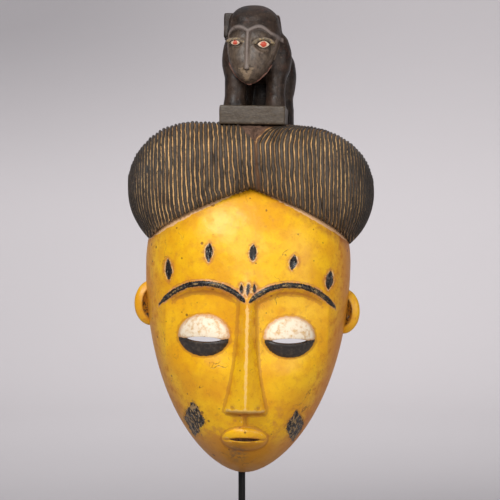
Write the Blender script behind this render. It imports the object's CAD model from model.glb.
# %% [markdown]
# # A carved face mask with a ridged coiffure, resting on its steel stand
#
# The real mask is one block of soft wood. A carver cut the face, the ears, the two-lobed hair and the small
# animal from it with an adze and knives, painted the face yellow and stained the rest nearly black. Here
# each of these forms is a closed mesh of its own, because a form with its own mesh can have as many faces
# as its carving needs. They sit in each other as they do in the wood, so that no seam shows.
#
# Everything is in metres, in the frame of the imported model. The carving's own frame has the chin at zero.

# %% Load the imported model
import math
from itertools import product

import bmesh
import bpy
import numpy as np
from mathutils import Matrix, Vector


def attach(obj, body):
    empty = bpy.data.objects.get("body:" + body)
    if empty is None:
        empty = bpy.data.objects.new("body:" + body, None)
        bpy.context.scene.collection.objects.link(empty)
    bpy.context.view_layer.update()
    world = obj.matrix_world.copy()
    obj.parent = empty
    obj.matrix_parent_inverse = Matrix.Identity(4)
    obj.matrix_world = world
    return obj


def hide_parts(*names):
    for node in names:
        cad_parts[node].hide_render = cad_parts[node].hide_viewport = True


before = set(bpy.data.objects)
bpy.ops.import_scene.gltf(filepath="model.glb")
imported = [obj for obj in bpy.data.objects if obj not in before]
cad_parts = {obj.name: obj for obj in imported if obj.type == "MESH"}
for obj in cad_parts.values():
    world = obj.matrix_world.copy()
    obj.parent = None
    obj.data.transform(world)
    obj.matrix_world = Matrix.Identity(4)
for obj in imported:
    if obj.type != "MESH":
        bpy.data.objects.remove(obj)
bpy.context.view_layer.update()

# %% [markdown]
# ## The carving's sizes
#
# The face is an egg, cut flat behind and hollowed out. It is laid out by the drawing-book rules: the eyes
# lie half way between chin and hair, the brows at two thirds, the nose ends at a quarter, and the face is
# five eyes wide. The coiffure and the animal have their own few sizes. They are the sizes of the solids, so
# that the fine carving lies exactly where the plain solid is.

# %% The sizes of the face
CHIN_ABOVE_FLOOR = 0.110
BACK_PLANE = 0.045
ROLL = math.radians(1.2)
MASK_HEIGHT = 0.420

FACE_WIDTH = 0.186
FACE_DEPTH = 0.095
SECTION_FULLNESS = 2.4
JAW_TAPER = 0.58
CHIN_FULLNESS = 3.6

HAIRLINE_HEIGHT = 0.256
WIDEST_HEIGHT = HAIRLINE_HEIGHT * 3 / 4
EYE_LINE = HAIRLINE_HEIGHT / 2
BROW_LINE = HAIRLINE_HEIGHT * 2 / 3
NOSE_BASE = EYE_LINE / 2
MOUTH_LINE = NOSE_BASE * 0.58
EYE_WIDTH = FACE_WIDTH / 5
EYE_OFFSET = EYE_WIDTH
NOSE_WIDTH = EYE_WIDTH

NOSE_HEIGHT = 0.019
NOSE_ROOT_HEIGHT = 0.005
NOSE_ROOT_WIDTH = 0.015
NOSE_BASE_STEP = 0.005
SOCKET_WIDTH = 0.068
SOCKET_DEPTH = 0.0075
LID_BULGE = 0.0085
LID_WIDTH = EYE_WIDTH * 1.22
LID_HEIGHT = 0.036
BROW_SPAN = 0.082
BROW_RISE = 0.020
BROW_WIDTH = 0.0085
SLIT_WIDTH = 0.031
SLIT_HEIGHT = 0.0050
SLIT_DROP = 0.10
MOUTH_WIDTH = 0.027
MOUTH_GAP = 0.0036
MOUTH_DEPTH = 0.007
LIP_HEIGHT = 0.0065
LIP_SPAN = 0.040
LIP_RISE = 0.022
LIP_GROOVE_WIDTH = 0.007
LIP_GROOVE_DEPTH = 0.0022

WALL = 0.0115
FRONT_WALL = 0.0135
CHIN_WALL = 0.015

EAR_HEIGHT = 0.041
EAR_REACH = 0.0115
EAR_SET_BACK = 0.014
EAR_THICKNESS = 0.016
EAR_LEAN = math.radians(24)
EAR_LEFT_HEIGHT = 0.153
EAR_RIGHT_HEIGHT = 0.149

# %% The sizes of the coiffure and the crest
COIFFURE_WIDTH = 0.2225
COIFFURE_X = 0.0012
COIFFURE_FRONT = 0.0915
COIFFURE_BACK_GAP = 0.0015
LOBE_RADIUS = 0.0597
LOBE_LIFT = 0.0005
LOBE_TOP_DROP = 0.0035
LOBE_BELLY = 0.42
TOP_FULLNESS = 0.74
HAIR_STEP = 0.0022
HAIR_SHELF = 0.30
RIDGES = 80
RIDGE_DEPTH = 0.0013
FADING_RIDGES = 9
PARTING_X = 0.004
PARTING_DEPTH = 0.0200
ROW_CROWDING = 0.12

CREST_YAW = math.radians(-5.5)
CREST_TILT = math.radians(-2.0)
CREST_X = 0.0035
BLOCK_WIDTH = 0.0590
BLOCK_DEPTH = 0.0600
BLOCK_HEIGHT = 0.0175
BLOCK_FRONT = -0.0180
BLOCK_EDGE = 0.0020

CORNER_DROP = 0.0460
CROWN_DROP = 0.0242
TOP_WALL = 0.028
BLOCK_RISE = 0.0128

LOBE_HEIGHT = HAIRLINE_HEIGHT + LOBE_LIFT
COIFFURE_TOP = LOBE_HEIGHT + LOBE_RADIUS
CORNER_HEIGHT = LOBE_HEIGHT - CORNER_DROP
PARTING_HEIGHT = COIFFURE_TOP - PARTING_DEPTH
CROWN_HEIGHT = COIFFURE_TOP - CROWN_DROP
HOLLOW_TOP = CROWN_HEIGHT - TOP_WALL
BLOCK_TOP = COIFFURE_TOP + BLOCK_RISE
ANIMAL_HEIGHT = MASK_HEIGHT - BLOCK_TOP
ANIMAL_SINK = 0.002
LOBE_MIDDLE = COIFFURE_WIDTH / 2 - LOBE_RADIUS

hang = Matrix.Translation((0, 0, HOLLOW_TOP))
lift = Matrix.Translation((0, 0, CHIN_ABOVE_FLOOR))
mask_place = lift @ hang @ Matrix.Rotation(ROLL, 4, "Y") @ hang.inverted()
crest_turn = Matrix.Rotation(CREST_YAW, 4, "Z") @ Matrix.Rotation(CREST_TILT, 4, "X")
crest_place = Matrix.Translation((CREST_X, BLOCK_FRONT + BLOCK_DEPTH / 2, BLOCK_TOP)) @ crest_turn
print("the animal is", round(ANIMAL_HEIGHT * 1000), "mm tall")

# %% [markdown]
# ## Helpers for carving
#
# Hand carving is never even. A steady noise, a smooth random field that gives the same value at the same
# place in every run, shifts and dents each form a little. Blender has such fields as textures; here a few
# lines of numpy do it, so that shape and colour can use the same field.

# %% Steps, bumps and a steady noise


def bump(distance, reach):
    share = np.clip(1 - (distance / reach) ** 2, 0, 1)
    return share * share


def step(value, low, high):
    share = np.clip((value - low) / (high - low), 0, 1)
    return share * share * (3 - 2 * share)


def cell_value(cells, seed):
    """A fixed random number from -1 to 1 for each whole-numbered cell."""
    mixed = np.sin(cells @ np.array([12.9898, 78.233, 37.719]) + seed * 17.13) * 43758.5453
    return 2 * (mixed - np.floor(mixed)) - 1


def noise(points, size, seed=0):
    """A smooth field from about -1 to 1, with hills about as far apart as the size."""
    scaled = np.asarray(points) / size
    low = np.floor(scaled)
    share = scaled - low
    share = share * share * (3 - 2 * share)
    total = np.zeros(scaled.shape[:-1])
    for corner in product((0, 1), repeat=3):
        weight = np.prod(np.where(np.array(corner) == 1, share, 1 - share), axis=-1)
        total += weight * cell_value(low + np.array(corner), seed)
    return total


def rough(points, size, seed=0, layers=3):
    """Noise with finer and weaker noise on it."""
    return sum(noise(points, size / 2**k, seed + k) / 2**k for k in range(layers))


def flat_points(x, z, y=0.0):
    return np.stack(np.broadcast_arrays(x, y, z), axis=-1)


print("steady noise at one place:", round(float(noise(np.array([[0.01, 0.02, 0.03]]), 0.004)[0]), 4))

# %% [markdown]
# ## From numbers to closed meshes
#
# Two kinds of form need two ways. A broad skin such as the face is a grid of points, bent to shape and
# closed behind. A form with limbs, such as the animal, is easier to describe as a distance field: a number
# at each place that is negative inside the wood. Its surface is found cell by cell, where the sign changes,
# which gives an even, closed mesh and lets forms melt into each other as carved wood does.

# %% A mesh from a grid


def new_piece(name, mesh):
    piece = bpy.data.objects.new(name, mesh)
    bpy.context.scene.collection.objects.link(piece)
    return piece


def mesh_from(points, faces, name):
    mesh = bpy.data.meshes.new(name)
    mesh.from_pydata(points.tolist(), [], [list(face) for face in faces])
    mesh.validate()
    return mesh


def grid_faces(rows, columns):
    first = np.arange(rows - 1)[:, None] * columns + np.arange(columns - 1)
    return np.stack([first, first + 1, first + columns + 1, first + columns], axis=-1).reshape(-1, 4)


def outward_mesh(mesh):
    bm = bmesh.new()
    bm.from_mesh(mesh)
    bmesh.ops.remove_doubles(bm, verts=bm.verts, dist=1e-7)
    bmesh.ops.dissolve_degenerate(bm, edges=bm.edges, dist=1e-8)
    bmesh.ops.recalc_face_normals(bm, faces=bm.faces)
    bm.to_mesh(mesh)
    bm.free()
    return mesh


# %% A mesh from a distance field


def window(shape, axis, start):
    """The part of a grid that starts at an index along one axis and is one shorter there."""
    cut = [slice(None)] * 3
    cut[axis] = slice(start, shape[axis] - 1 + start)
    return tuple(cut)


def field_mesh(name, field, low, high, pitch):
    """The surface where a distance field is zero, between two corners."""
    axes = [np.arange(a - 2 * pitch, b + 2 * pitch, pitch) for a, b in zip(low, high)]
    places = np.stack(np.meshgrid(*axes, indexing="ij"), axis=-1)
    values = field(places)
    cells = tuple(n - 1 for n in values.shape)
    total = np.zeros((*cells, 3))
    count = np.zeros(cells)
    crossings = []
    for axis in range(3):
        near = values[window(values.shape, axis, 0)]
        far = values[window(values.shape, axis, 1)]
        crossing = (near < 0) != (far < 0)
        share = np.where(crossing, near / np.where(crossing, near - far, 1), 0)
        hit = places[window(values.shape, axis, 0)].copy()
        hit[..., axis] += share * pitch
        first, second = [k for k in range(3) if k != axis]
        for a, b in product((0, 1), repeat=2):
            cut = [slice(None)] * 3
            cut[first] = slice(a, values.shape[first] - 1 + a)
            cut[second] = slice(b, values.shape[second] - 1 + b)
            count += crossing[tuple(cut)]
            total += hit[tuple(cut)] * crossing[tuple(cut)][..., None]
        crossings.append((crossing, near < 0, first, second))
    active = count > 0
    number = np.full(cells, -1)
    number[active] = np.arange(active.sum())
    points = total[active] / count[active][:, None]
    faces = []
    for axis, (crossing, leaving, first, second) in enumerate(crossings):
        index = np.argwhere(crossing)
        around = []
        for a, b in ((-1, -1), (0, -1), (0, 0), (-1, 0)):
            cell = index.copy()
            cell[:, first] += a
            cell[:, second] += b
            around.append(number[tuple(cell.T)])
        quad = np.stack(around, axis=-1)
        forward = leaving[tuple(index.T)] ^ (axis == 1)
        faces.append(np.where(forward[:, None], quad, quad[:, ::-1]))
    return mesh_from(points, np.concatenate(faces), name)


# %% Numbers at a mesh's points, and the last steps for each piece


def points_of(mesh):
    found = np.empty(len(mesh.vertices) * 3)
    mesh.vertices.foreach_get("co", found)
    return found.reshape(-1, 3)


def normals_of(mesh):
    found = np.empty(len(mesh.vertices) * 3)
    mesh.vertices.foreach_get("normal", found)
    return found.reshape(-1, 3)


def mark(mesh, name, values):
    """Keeps a number at each point, for the shaders to read."""
    layer = mesh.attributes.new(name, "FLOAT", "POINT")
    layer.data.foreach_set("value", np.ascontiguousarray(values, dtype=np.float32))


def finish_piece(piece, place, node):
    piece.data.transform(place)
    piece.data.shade_smooth()
    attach(piece, "root")
    if node:
        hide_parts(node)
    triangles = sum(len(face.vertices) - 2 for face in piece.data.polygons)
    print(piece.name, "has", triangles, "triangles")


# %% [markdown]
# ## The face
#
# The face starts as the egg of the solid. Its carving is a height over the egg at each place: nose, brows,
# lids and lips, then the marks that the carver cut in. A grid with a point about every millimetre carries
# all that. A sculpted mesh could look the same, but it couldn't be read or changed as easily as a sum of
# named heights.

# %% The egg and its main relief


def egg_section(bottom, widest, top, half_width, depth, z):
    below = z < widest
    down = np.clip((widest - z) / (widest - bottom), 0, 1)
    up = np.clip((z - widest) / (top - widest), 0, 1)
    width = np.where(below, (1 - down**2.1) ** JAW_TAPER, (1 - up**2) ** 0.5)
    out = np.where(below, (1 - down**CHIN_FULLNESS) ** 0.5, (1 - up**2.2) ** 0.5)
    return half_width * width, depth * out


FACE_EGG = (0.0, WIDEST_HEIGHT, CROWN_HEIGHT, FACE_WIDTH / 2, FACE_DEPTH)
HOLLOW_EGG = (CHIN_WALL, WIDEST_HEIGHT, HOLLOW_TOP, FACE_WIDTH / 2 - WALL, FACE_DEPTH - FRONT_WALL)


def face_depth(x, z):
    half_width, depth = egg_section(*FACE_EGG, z)
    share = np.clip(np.abs(x) / np.maximum(half_width, 1e-6), 0, 1)
    return depth * (1 - share**SECTION_FULLNESS) ** (1 / SECTION_FULLNESS)


print("the egg is", round(1000 * float(face_depth(0.0, np.array(WIDEST_HEIGHT)))), "mm deep at its widest")

# %% Nose, eyes and mouth


def brow_height(x):
    across = (np.abs(x) - EYE_OFFSET) / (BROW_SPAN / 2)
    return BROW_LINE - BROW_RISE * np.clip(np.abs(across), 0, 1.15) ** 2.2


def nose_relief(x, z):
    along = np.clip((z - NOSE_BASE) / (BROW_LINE - NOSE_BASE), 0, 1)
    half_width = NOSE_ROOT_WIDTH / 2 + (NOSE_WIDTH - NOSE_ROOT_WIDTH) / 2 * (1 - along) ** 2.6
    height = NOSE_ROOT_HEIGHT + (NOSE_HEIGHT - NOSE_ROOT_HEIGHT) * (1 - along) ** 1.1
    ridge = np.clip(1 - np.abs(x) / half_width, 0, 1) ** 0.8
    ends = step(z, NOSE_BASE - NOSE_BASE_STEP, NOSE_BASE)
    ends = ends * (1 - step(z, BROW_LINE - NOSE_ROOT_WIDTH * 0.8, BROW_LINE + NOSE_ROOT_WIDTH))
    return height * ridge * ends


def lid_share(x, z):
    """1 in the middle of an eye's almond mound, 0 on its edge, negative outside."""
    side = np.abs(x) - EYE_OFFSET
    return 1 - np.abs(side / (LID_WIDTH / 2)) ** 2.2 - np.abs((z - EYE_LINE) / (LID_HEIGHT / 2)) ** 1.8


def eye_relief(x, z):
    across = np.abs((np.abs(x) - EYE_OFFSET) / (SOCKET_WIDTH / 2))
    under_brow = 1 - step(z, brow_height(x) - BROW_WIDTH * 0.8, brow_height(x) + BROW_WIDTH * 0.1)
    above_cheek = step(z, EYE_LINE - LID_HEIGHT, EYE_LINE - LID_HEIGHT * 0.1)
    socket = np.clip(1 - across**3, 0, 1) * under_brow * above_cheek
    return LID_BULGE * np.clip(lid_share(x, z), 0, 1) ** 0.65 - SOCKET_DEPTH * socket


def mouth_relief(x, z):
    spread = (x / (LIP_SPAN / 2)) ** 2 + ((z - MOUTH_LINE) / (LIP_RISE / 2)) ** 2
    lips = LIP_HEIGHT * np.clip(1 - spread, 0, 1) ** 0.7
    groove = LIP_GROOVE_DEPTH * bump(x, LIP_GROOVE_WIDTH / 2)
    groove = groove * step(z, MOUTH_LINE + LIP_RISE * 0.36, MOUTH_LINE + LIP_RISE * 0.64)
    groove = groove * (1 - step(z, NOSE_BASE - NOSE_BASE_STEP / 2, NOSE_BASE + NOSE_BASE_STEP / 2))
    return lips - groove


print("the nose stands", round(1000 * float(nose_relief(0.0, np.array(NOSE_BASE)))), "mm out at its base")

# %% [markdown]
# ## The carved marks
#
# Five lens marks cross the forehead, three small strokes stand between the brows, and a rough lozenge is
# cut low on each cheek. Each mark is a signed distance in millimetres, positive inside. The same number
# sinks the wood and later tells the paint where it is black, so cut and colour can't drift apart.

# %% The sizes of the marks, and a lens
MM = 0.001
FOREHEAD_MARKS = (
    # x, z, width, height and lean of each lens, in millimetres
    (-69.4, 183.6, 5.4, 18.6, -0.06),
    (-34.0, 199.6, 6.2, 16.6, 0.03),
    (3.9, 200.2, 6.6, 15.4, 0.05),
    (38.9, 192.4, 6.0, 13.6, 0.16),
    (71.4, 177.6, 6.4, 17.4, 0.10),
)
BROW_STROKES = (
    (-5.4, 168.4, 2.9, 10.4, -0.05),
    (0.4, 168.8, 3.2, 11.6, 0.08),
    (5.9, 168.6, 2.8, 9.8, -0.08),
)
CHEEK_MARKS = ((-45.1, 52.6, 17.6, 34.0, -0.04), (44.2, 47.8, 15.6, 31.0, 0.05))
LENS_DEPTH = 1.5 * MM
STROKE_DEPTH = 1.3 * MM
CHEEK_DEPTH = 0.8 * MM
CORD_WIDTH = 4.6 * MM
CORD_HEIGHT = 2.1 * MM
NICK_PITCH = 3.1 * MM


def lens(x, z, middle_x, middle_z, width, height, lean, point=1.0):
    """How far a place lies inside an upright lens, in millimetres."""
    up = z / MM - middle_z
    across = x / MM - middle_x - lean * up
    edge = width / 2 * np.clip(1 - np.abs(up / (height / 2)) ** (1 + point), 0, 1)
    outside_end = np.maximum(np.abs(up) - height / 2, 0)
    return edge - np.abs(across) - outside_end


def deepest(x, z, lenses, point=1.0):
    return np.max([lens(x, z, *one, point=point) for one in lenses], axis=0)


def ragged(x, z, size, amount, seed):
    return amount * rough(flat_points(x, z), size, seed, layers=2)


# %% Where the cuts and the cords lie


def forehead_marks(x, z):
    return deepest(x, z, FOREHEAD_MARKS) + ragged(x, z, 3 * MM, 0.45, 11)


def brow_strokes(x, z):
    return deepest(x, z, BROW_STROKES) + ragged(x, z, 2.5 * MM, 0.25, 12)


def cheek_marks(x, z):
    return deepest(x, z, CHEEK_MARKS, point=0.35) + ragged(x, z, 5 * MM, 1.1, 13)


def cord_distance(x, z):
    """Distance from the middle line of the brow cord, in metres, square to it."""
    lift = brow_height(x) + BROW_WIDTH / 4
    slope = (brow_height(x + MM) - brow_height(x - MM)) / (2 * MM)
    return (z - lift) / np.sqrt(1 + slope**2)


def cord_reach(x):
    side = np.abs(x) - EYE_OFFSET
    end = BROW_SPAN / 2
    outer = 1 - step(side, end - BROW_WIDTH * 0.9, end + BROW_WIDTH * 0.1)
    inner = 1 - step(-side, end - BROW_WIDTH * 1.3, end - BROW_WIDTH * 0.4)
    return outer * inner


def cord_marks(x, z):
    """How far a place lies inside a brow cord, in millimetres."""
    width = CORD_WIDTH / 2 * (0.35 + 0.65 * cord_reach(x)) * np.where(cord_reach(x) > 0.02, 1, -1)
    return (width - np.abs(cord_distance(x, z))) / MM + ragged(x, z, 4 * MM, 0.3, 14)


def cord_nicks(x, z):
    """The knife's cross cuts on the cord: 1 in a cut, 0 between them."""
    along = x / NICK_PITCH + 0.5 * noise(flat_points(x, 0.0), 7 * MM, 15) + 0.25 * cord_distance(x, z) / MM
    there = noise(flat_points(x, 0.0), 9 * MM, 16) > -0.25
    return bump((along - np.floor(along) - 0.5), 0.2) * there


# %% How deep they are cut


def cord_relief(x, z):
    distance = np.abs(cord_distance(x, z)) / (CORD_WIDTH / 2)
    round_top = np.sqrt(np.clip(1 - distance**2.6, 0, 1))
    height = CORD_HEIGHT * round_top * cord_reach(x)
    return height * (1 - 0.42 * cord_nicks(x, z))


def cut_relief(x, z):
    lenses = -LENS_DEPTH * step(forehead_marks(x, z), -0.3, 2.3) ** 0.8
    strokes = -STROKE_DEPTH * step(brow_strokes(x, z), -0.2, 1.2)
    lozenge = cheek_marks(x, z)
    chisel = 0.55 * MM * noise(flat_points(x * 2.2 + z, z), 3.2 * MM, 17)
    rough_floor = (CHEEK_DEPTH + chisel) * step(lozenge, -0.3, 0.9)
    return lenses + strokes - rough_floor


print("cut:", len(FOREHEAD_MARKS), "lenses,", len(BROW_STROKES), "strokes,", len(CHEEK_MARKS), "lozenges")

# %% [markdown]
# ## Lids, lips and tool marks
#
# The lids are a dome with a seam where they meet, the upper one edged by a fine crease. Under the yellow
# paint the adze left broad, almost flat facets, which is why the forehead's gleam is uneven. They are only
# tenths of a millimetre deep, but gloss shows them.

# %% The fine relief and the whole face


def fine_relief(x, z):
    seam = EYE_LINE - LID_HEIGHT * SLIT_DROP
    side = (np.abs(x) - EYE_OFFSET) / (LID_WIDTH / 2)
    inside = np.clip(lid_share(x, z), 0, 1)
    crease = -0.9 * MM * bump(lid_share(x, z) - 0.10, 0.10) * (z > seam)
    meet = -1.2 * MM * bump(z - seam + 0.9 * MM * side**2, 2.2 * MM) * step(inside, 0.02, 0.25)
    shelf = 0.8 * MM * bump(z - seam + 4.2 * MM * (1 - side**2), 2.4 * MM) * (np.abs(side) < 1)
    lip_seam = -0.9 * MM * bump(z - MOUTH_LINE - 0.7 * MM * np.cos(x / (LIP_SPAN / 2) * math.pi), 1.8 * MM)
    lip_seam = lip_seam * step(LIP_SPAN / 2 - np.abs(x), 0, 4 * MM)
    wings = -1.6 * MM * bump(np.abs(x) - NOSE_WIDTH * 0.30, 3.4 * MM)
    wings = wings * bump(z - NOSE_BASE - 1.5 * MM, 4.5 * MM)
    places = flat_points(x, z)
    facets = 0.30 * MM * noise(places, 17 * MM, 21) + 0.10 * MM * noise(places, 6 * MM, 22)
    return crease + meet + shelf + lip_seam + wings + facets


def face_relief(x, z):
    main = nose_relief(x, z) + eye_relief(x, z) + mouth_relief(x, z)
    return main + cord_relief(x, z) + cut_relief(x, z) + fine_relief(x, z)


def crowded(start, end, count, dense_to, dense_share):
    """Even steps up to a place with most of the points, and wide steps beyond it."""
    dense = int(count * dense_share)
    first = np.linspace(start, dense_to, dense)
    last = np.linspace(dense_to, end, count - dense + 1)[1:]
    return np.concatenate([first, last])


RELIEF_FADE = (0.13, 0.42)
print("the relief fades out where the egg turns back, at", RELIEF_FADE, "of its depth")

# %% An egg closed behind


def egg_grid(egg, z, columns, relief=None, reach_back=0.0):
    turn = np.linspace(-math.pi / 2, math.pi / 2, columns + 1)
    half_width, depth = egg_section(*egg, z)
    power = 2 / SECTION_FULLNESS
    x = np.outer(half_width, np.sign(turn) * np.abs(np.sin(turn)) ** power)
    out = np.outer(depth, np.abs(np.cos(turn)) ** power)
    heights = np.repeat(z[:, None], columns + 1, axis=1)
    if relief:
        facing = step(out / egg[4], *RELIEF_FADE)
        out = out + relief(x, heights) * facing
    y = BACK_PLANE + reach_back - out * (1 + reach_back / egg[4])
    return np.stack([x, y, heights], axis=-1)


def closed_egg(name, egg, z, columns, relief=None, reach_back=0.0):
    """A half egg with a flat back."""
    points = egg_grid(egg, z, columns, relief, reach_back)
    rows = len(z)
    faces = [tuple(face) for face in grid_faces(rows, columns + 1)]
    for k in range(rows - 1):
        low, high = k * (columns + 1), (k + 1) * (columns + 1)
        faces.append((low, high, high + columns, low + columns))
    return outward_mesh(mesh_from(points.reshape(-1, 3), faces, name))


FACE_COLUMNS = 270
FACE_ROWS = 300
DENSE_TOP = HAIRLINE_HEIGHT + 6 * MM
DENSE_RISE = 0.93
HIDDEN_RISE = 0.07
DENSE_ROWS = 0.95
rise = crowded(0.0, 1.0, FACE_ROWS, DENSE_RISE, DENSE_ROWS)
seen_rows = DENSE_TOP * (1 - np.cos(rise / DENSE_RISE * math.pi / 2)) ** 0.9
hidden_rows = DENSE_TOP + (CROWN_HEIGHT - DENSE_TOP) * (rise - DENSE_RISE) / HIDDEN_RISE
face_rows = np.where(rise < DENSE_RISE, seen_rows, hidden_rows)
face_mesh = closed_egg("carved_face", FACE_EGG, face_rows, FACE_COLUMNS, face_relief)
print("the plain face has", len(face_mesh.vertices), "points")

# %% [markdown]
# ## Hollowing the mask and opening its eyes
#
# A mask is worn, so its back is hollow and the eyes are slit right through the wood. Cutting with a Boolean
# modifier does what the carver's knife does, and keeps the mesh closed. The result is applied at once,
# because the paint marks are measured on the finished surface.

# %% The cutters


def lens_plug(name, width, height, depth, middle, points=48):
    rim = []
    for k in range(points):
        angle = 2 * math.pi * k / points
        lift = math.sin(angle) * abs(math.sin(angle)) ** 0.25
        rim.append((width / 2 * math.cos(angle), height / 2 * lift))
    bm = bmesh.new()
    near = [bm.verts.new((x, -depth / 2, z)) for x, z in rim]
    far = [bm.verts.new((x, depth / 2, z)) for x, z in rim]
    for k in range(points):
        nxt = (k + 1) % points
        bm.faces.new((near[k], near[nxt], far[nxt], far[k]))
    bm.faces.new(near)
    bm.faces.new(far)
    bmesh.ops.translate(bm, verts=bm.verts, vec=middle)
    bmesh.ops.recalc_face_normals(bm, faces=bm.faces)
    mesh = bpy.data.meshes.new(name)
    bm.to_mesh(mesh)
    bm.free()
    return mesh


def cut(piece, cutters):
    """Takes the cutters away from the piece, applies that, and removes the cutters."""
    for cutter in cutters:
        modifier = piece.modifiers.new(cutter.name, "BOOLEAN")
        modifier.operation = "DIFFERENCE"
        modifier.object = cutter
        modifier.solver = "EXACT"
    graph = bpy.context.evaluated_depsgraph_get()
    result = bpy.data.meshes.new_from_object(piece.evaluated_get(graph))
    piece.modifiers.clear()
    piece.data = result
    for cutter in cutters:
        bpy.data.objects.remove(cutter, do_unlink=True)


def half_turn_rows(low, high, count):
    return low + (high - low) * (1 - np.cos(np.linspace(0, math.pi, count))) / 2


HOLLOW_ROWS = 46
HOLLOW_COLUMNS = 60
GOUGE_LENGTH = 13 * MM
GOUGE_DEPTH = 0.7 * MM


def hollow_marks(x, z):
    """The gouge's scoops on the inside."""
    return GOUGE_DEPTH * noise(flat_points(x * 1.4, z), GOUGE_LENGTH, 31)


# %% Cut the face open
face = new_piece("carved_face", face_mesh)
slit_z = EYE_LINE - LID_HEIGHT * SLIT_DROP
hollow_rows = half_turn_rows(HOLLOW_EGG[0], HOLLOW_EGG[2], HOLLOW_ROWS)
hollow_mesh = closed_egg("hollow", HOLLOW_EGG, hollow_rows, HOLLOW_COLUMNS, hollow_marks, reach_back=WALL)
cutters = [new_piece("hollow", hollow_mesh)]
for side in (-1, 1):
    middle = (side * EYE_OFFSET, BACK_PLANE - FACE_DEPTH, slit_z)
    eye_plug = lens_plug("eye slit", SLIT_WIDTH, SLIT_HEIGHT, FACE_DEPTH * 1.2, middle)
    cutters.append(new_piece("eye slit", eye_plug))
mouth_front = BACK_PLANE - float(face_depth(0.0, np.array(MOUTH_LINE))) - LIP_HEIGHT
mouth_plug = lens_plug("mouth slit", MOUTH_WIDTH, MOUTH_GAP, 2 * MOUTH_DEPTH, (0, mouth_front, MOUTH_LINE))
cutters.append(new_piece("mouth slit", mouth_plug))
cut(face, cutters)
print("the cut face has", len(face.data.vertices), "points")

# %% [markdown]
# ## What the paint needs to know
#
# Each mark on the face becomes a number at each point of the mesh. The shader reads them and turns them
# into colour, with noise at their edges, so the paint ends raggedly at a finer scale than the mesh has
# points. Wear sits on what stands out: the relief minus its own average nearby tells ridges from hollows.

# %% Paint marks on the face


def hairline(x):
    bow = coiffure_bow(CORNER_HEIGHT)
    share = np.clip(np.abs(x) / (COIFFURE_WIDTH / 2 * bow), 0, 1)
    return HAIRLINE_HEIGHT + (CORNER_HEIGHT - HAIRLINE_HEIGHT) * share**1.12


def coiffure_bow(z):
    below = np.clip((LOBE_HEIGHT - z) / LOBE_RADIUS, 0, 1)
    return (LOBE_MIDDLE + LOBE_RADIUS * np.sqrt(1 - below**2)) / (COIFFURE_WIDTH / 2)


UNDER_SKIN = 0.7 * MM
SMOOTH_SIDES = 0.066
CREST_REACH = 2.4 * MM
RIM_REACH = 9 * MM
NOWHERE = -5


def standing_out(x, z, reach):
    """How far the relief lies above its average around each place, in millimetres."""
    around = [2 * math.pi * k / 8 for k in range(8)]
    average = sum(face_relief(x + reach * math.cos(a), z + reach * math.sin(a)) for a in around) / 8
    return (face_relief(x, z) - average) / MM


def mark_face(mesh):
    x, y, z = points_of(mesh).T
    out = BACK_PLANE - y
    skin = face_depth(x, z) + face_relief(x, z) * step(out / FACE_DEPTH, *RELIEF_FADE)
    buried = (skin - out > UNDER_SKIN) & ~(y > BACK_PLANE - 0.1 * MM)
    side = (np.abs(x) - EYE_OFFSET) / (LID_WIDTH / 2)
    upper = np.minimum(lid_share(x, z) * 9, (z - slit_z) / MM + 0.4 - 1.6 * side**2)
    lower = np.minimum(lid_share(x, z) * 9, (slit_z - z) / MM + 1.6 * side**2 - 0.2)
    marks = {
        "cord": cord_marks(x, z), "upper_lid": upper, "lower_lid": np.where(np.abs(side) < 1, lower, NOWHERE),
        "lens_cut": np.maximum(forehead_marks(x, z), brow_strokes(x, z)), "lozenge": cheek_marks(x, z)}
    for name, distance in marks.items():
        mark(mesh, name, np.where(buried, NOWHERE, distance))
    normal = normals_of(mesh)
    mark(mesh, "nick", cord_nicks(x, z))
    mark(mesh, "below_hair", (hairline(x - COIFFURE_X) - z) / MM)
    plain = buried | (np.abs(x) > SMOOTH_SIDES)
    mark(mesh, "crest", np.where(plain, 0, standing_out(x, z, CREST_REACH)))
    mark(mesh, "inside", buried)
    mark(mesh, "rim", step(y, BACK_PLANE - RIM_REACH, BACK_PLANE))
    mark(mesh, "under", np.clip(-normal[:, 2], 0, 1))
    mark(mesh, "aside", 1 - np.clip(-normal[:, 1], 0, 1))


mark_face(face.data)
finish_piece(face, mask_place, "mask")

# %% [markdown]
# ## The coiffure
#
# Two high lobes of hair stand left and right of a parting. The carver cut them into upright ridges, each
# rounded, with a knife-thin groove between. The ridges waver a little and lean to one side low down. Right
# of the parting they bend away over the top, beside a rough V where the wood was left uncarved. A bump map
# would leave the outline smooth, and a displaced sphere would bend the ridges round its poles. So the
# surface is a grid of its own, with a fixed number of points across each ridge, and the points are shifted
# along the surface, never off it: the outline stays true while the ridges wander.

# %% The coiffure's plain surface
SAMPLES = 9
HAIR_ROWS = 120


def coiffure_top(x):
    beyond = np.clip((np.abs(x) - LOBE_MIDDLE) / LOBE_RADIUS, 0, 1)
    tall = LOBE_RADIUS - LOBE_TOP_DROP * step(x, BLOCK_WIDTH / 2, COIFFURE_WIDTH / 3)
    return LOBE_HEIGHT + tall * np.sqrt(1 - beyond**2)


def around(turn):
    """The plan of the coiffure: how far aside and how far forward it reaches at each turn."""
    power = 2 / SECTION_FULLNESS
    wide = COIFFURE_WIDTH / 2 * np.sign(turn) * np.abs(np.sin(turn)) ** power
    return wide, (COIFFURE_FRONT - COIFFURE_BACK_GAP) * np.abs(np.cos(turn)) ** power


quarter = np.linspace(0, math.pi / 2, 2000)
quarter_wide, quarter_out = around(quarter)
quarter_way = np.concatenate([[0], np.cumsum(np.hypot(np.diff(quarter_wide), np.diff(quarter_out)))])


def turn_at(way):
    """The turn that lies a share of the way, from -1 to 1, along the surface from the middle."""
    return np.sign(way) * np.interp(np.clip(np.abs(way), 0, 1) * quarter_way[-1], quarter_way, quarter)


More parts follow.
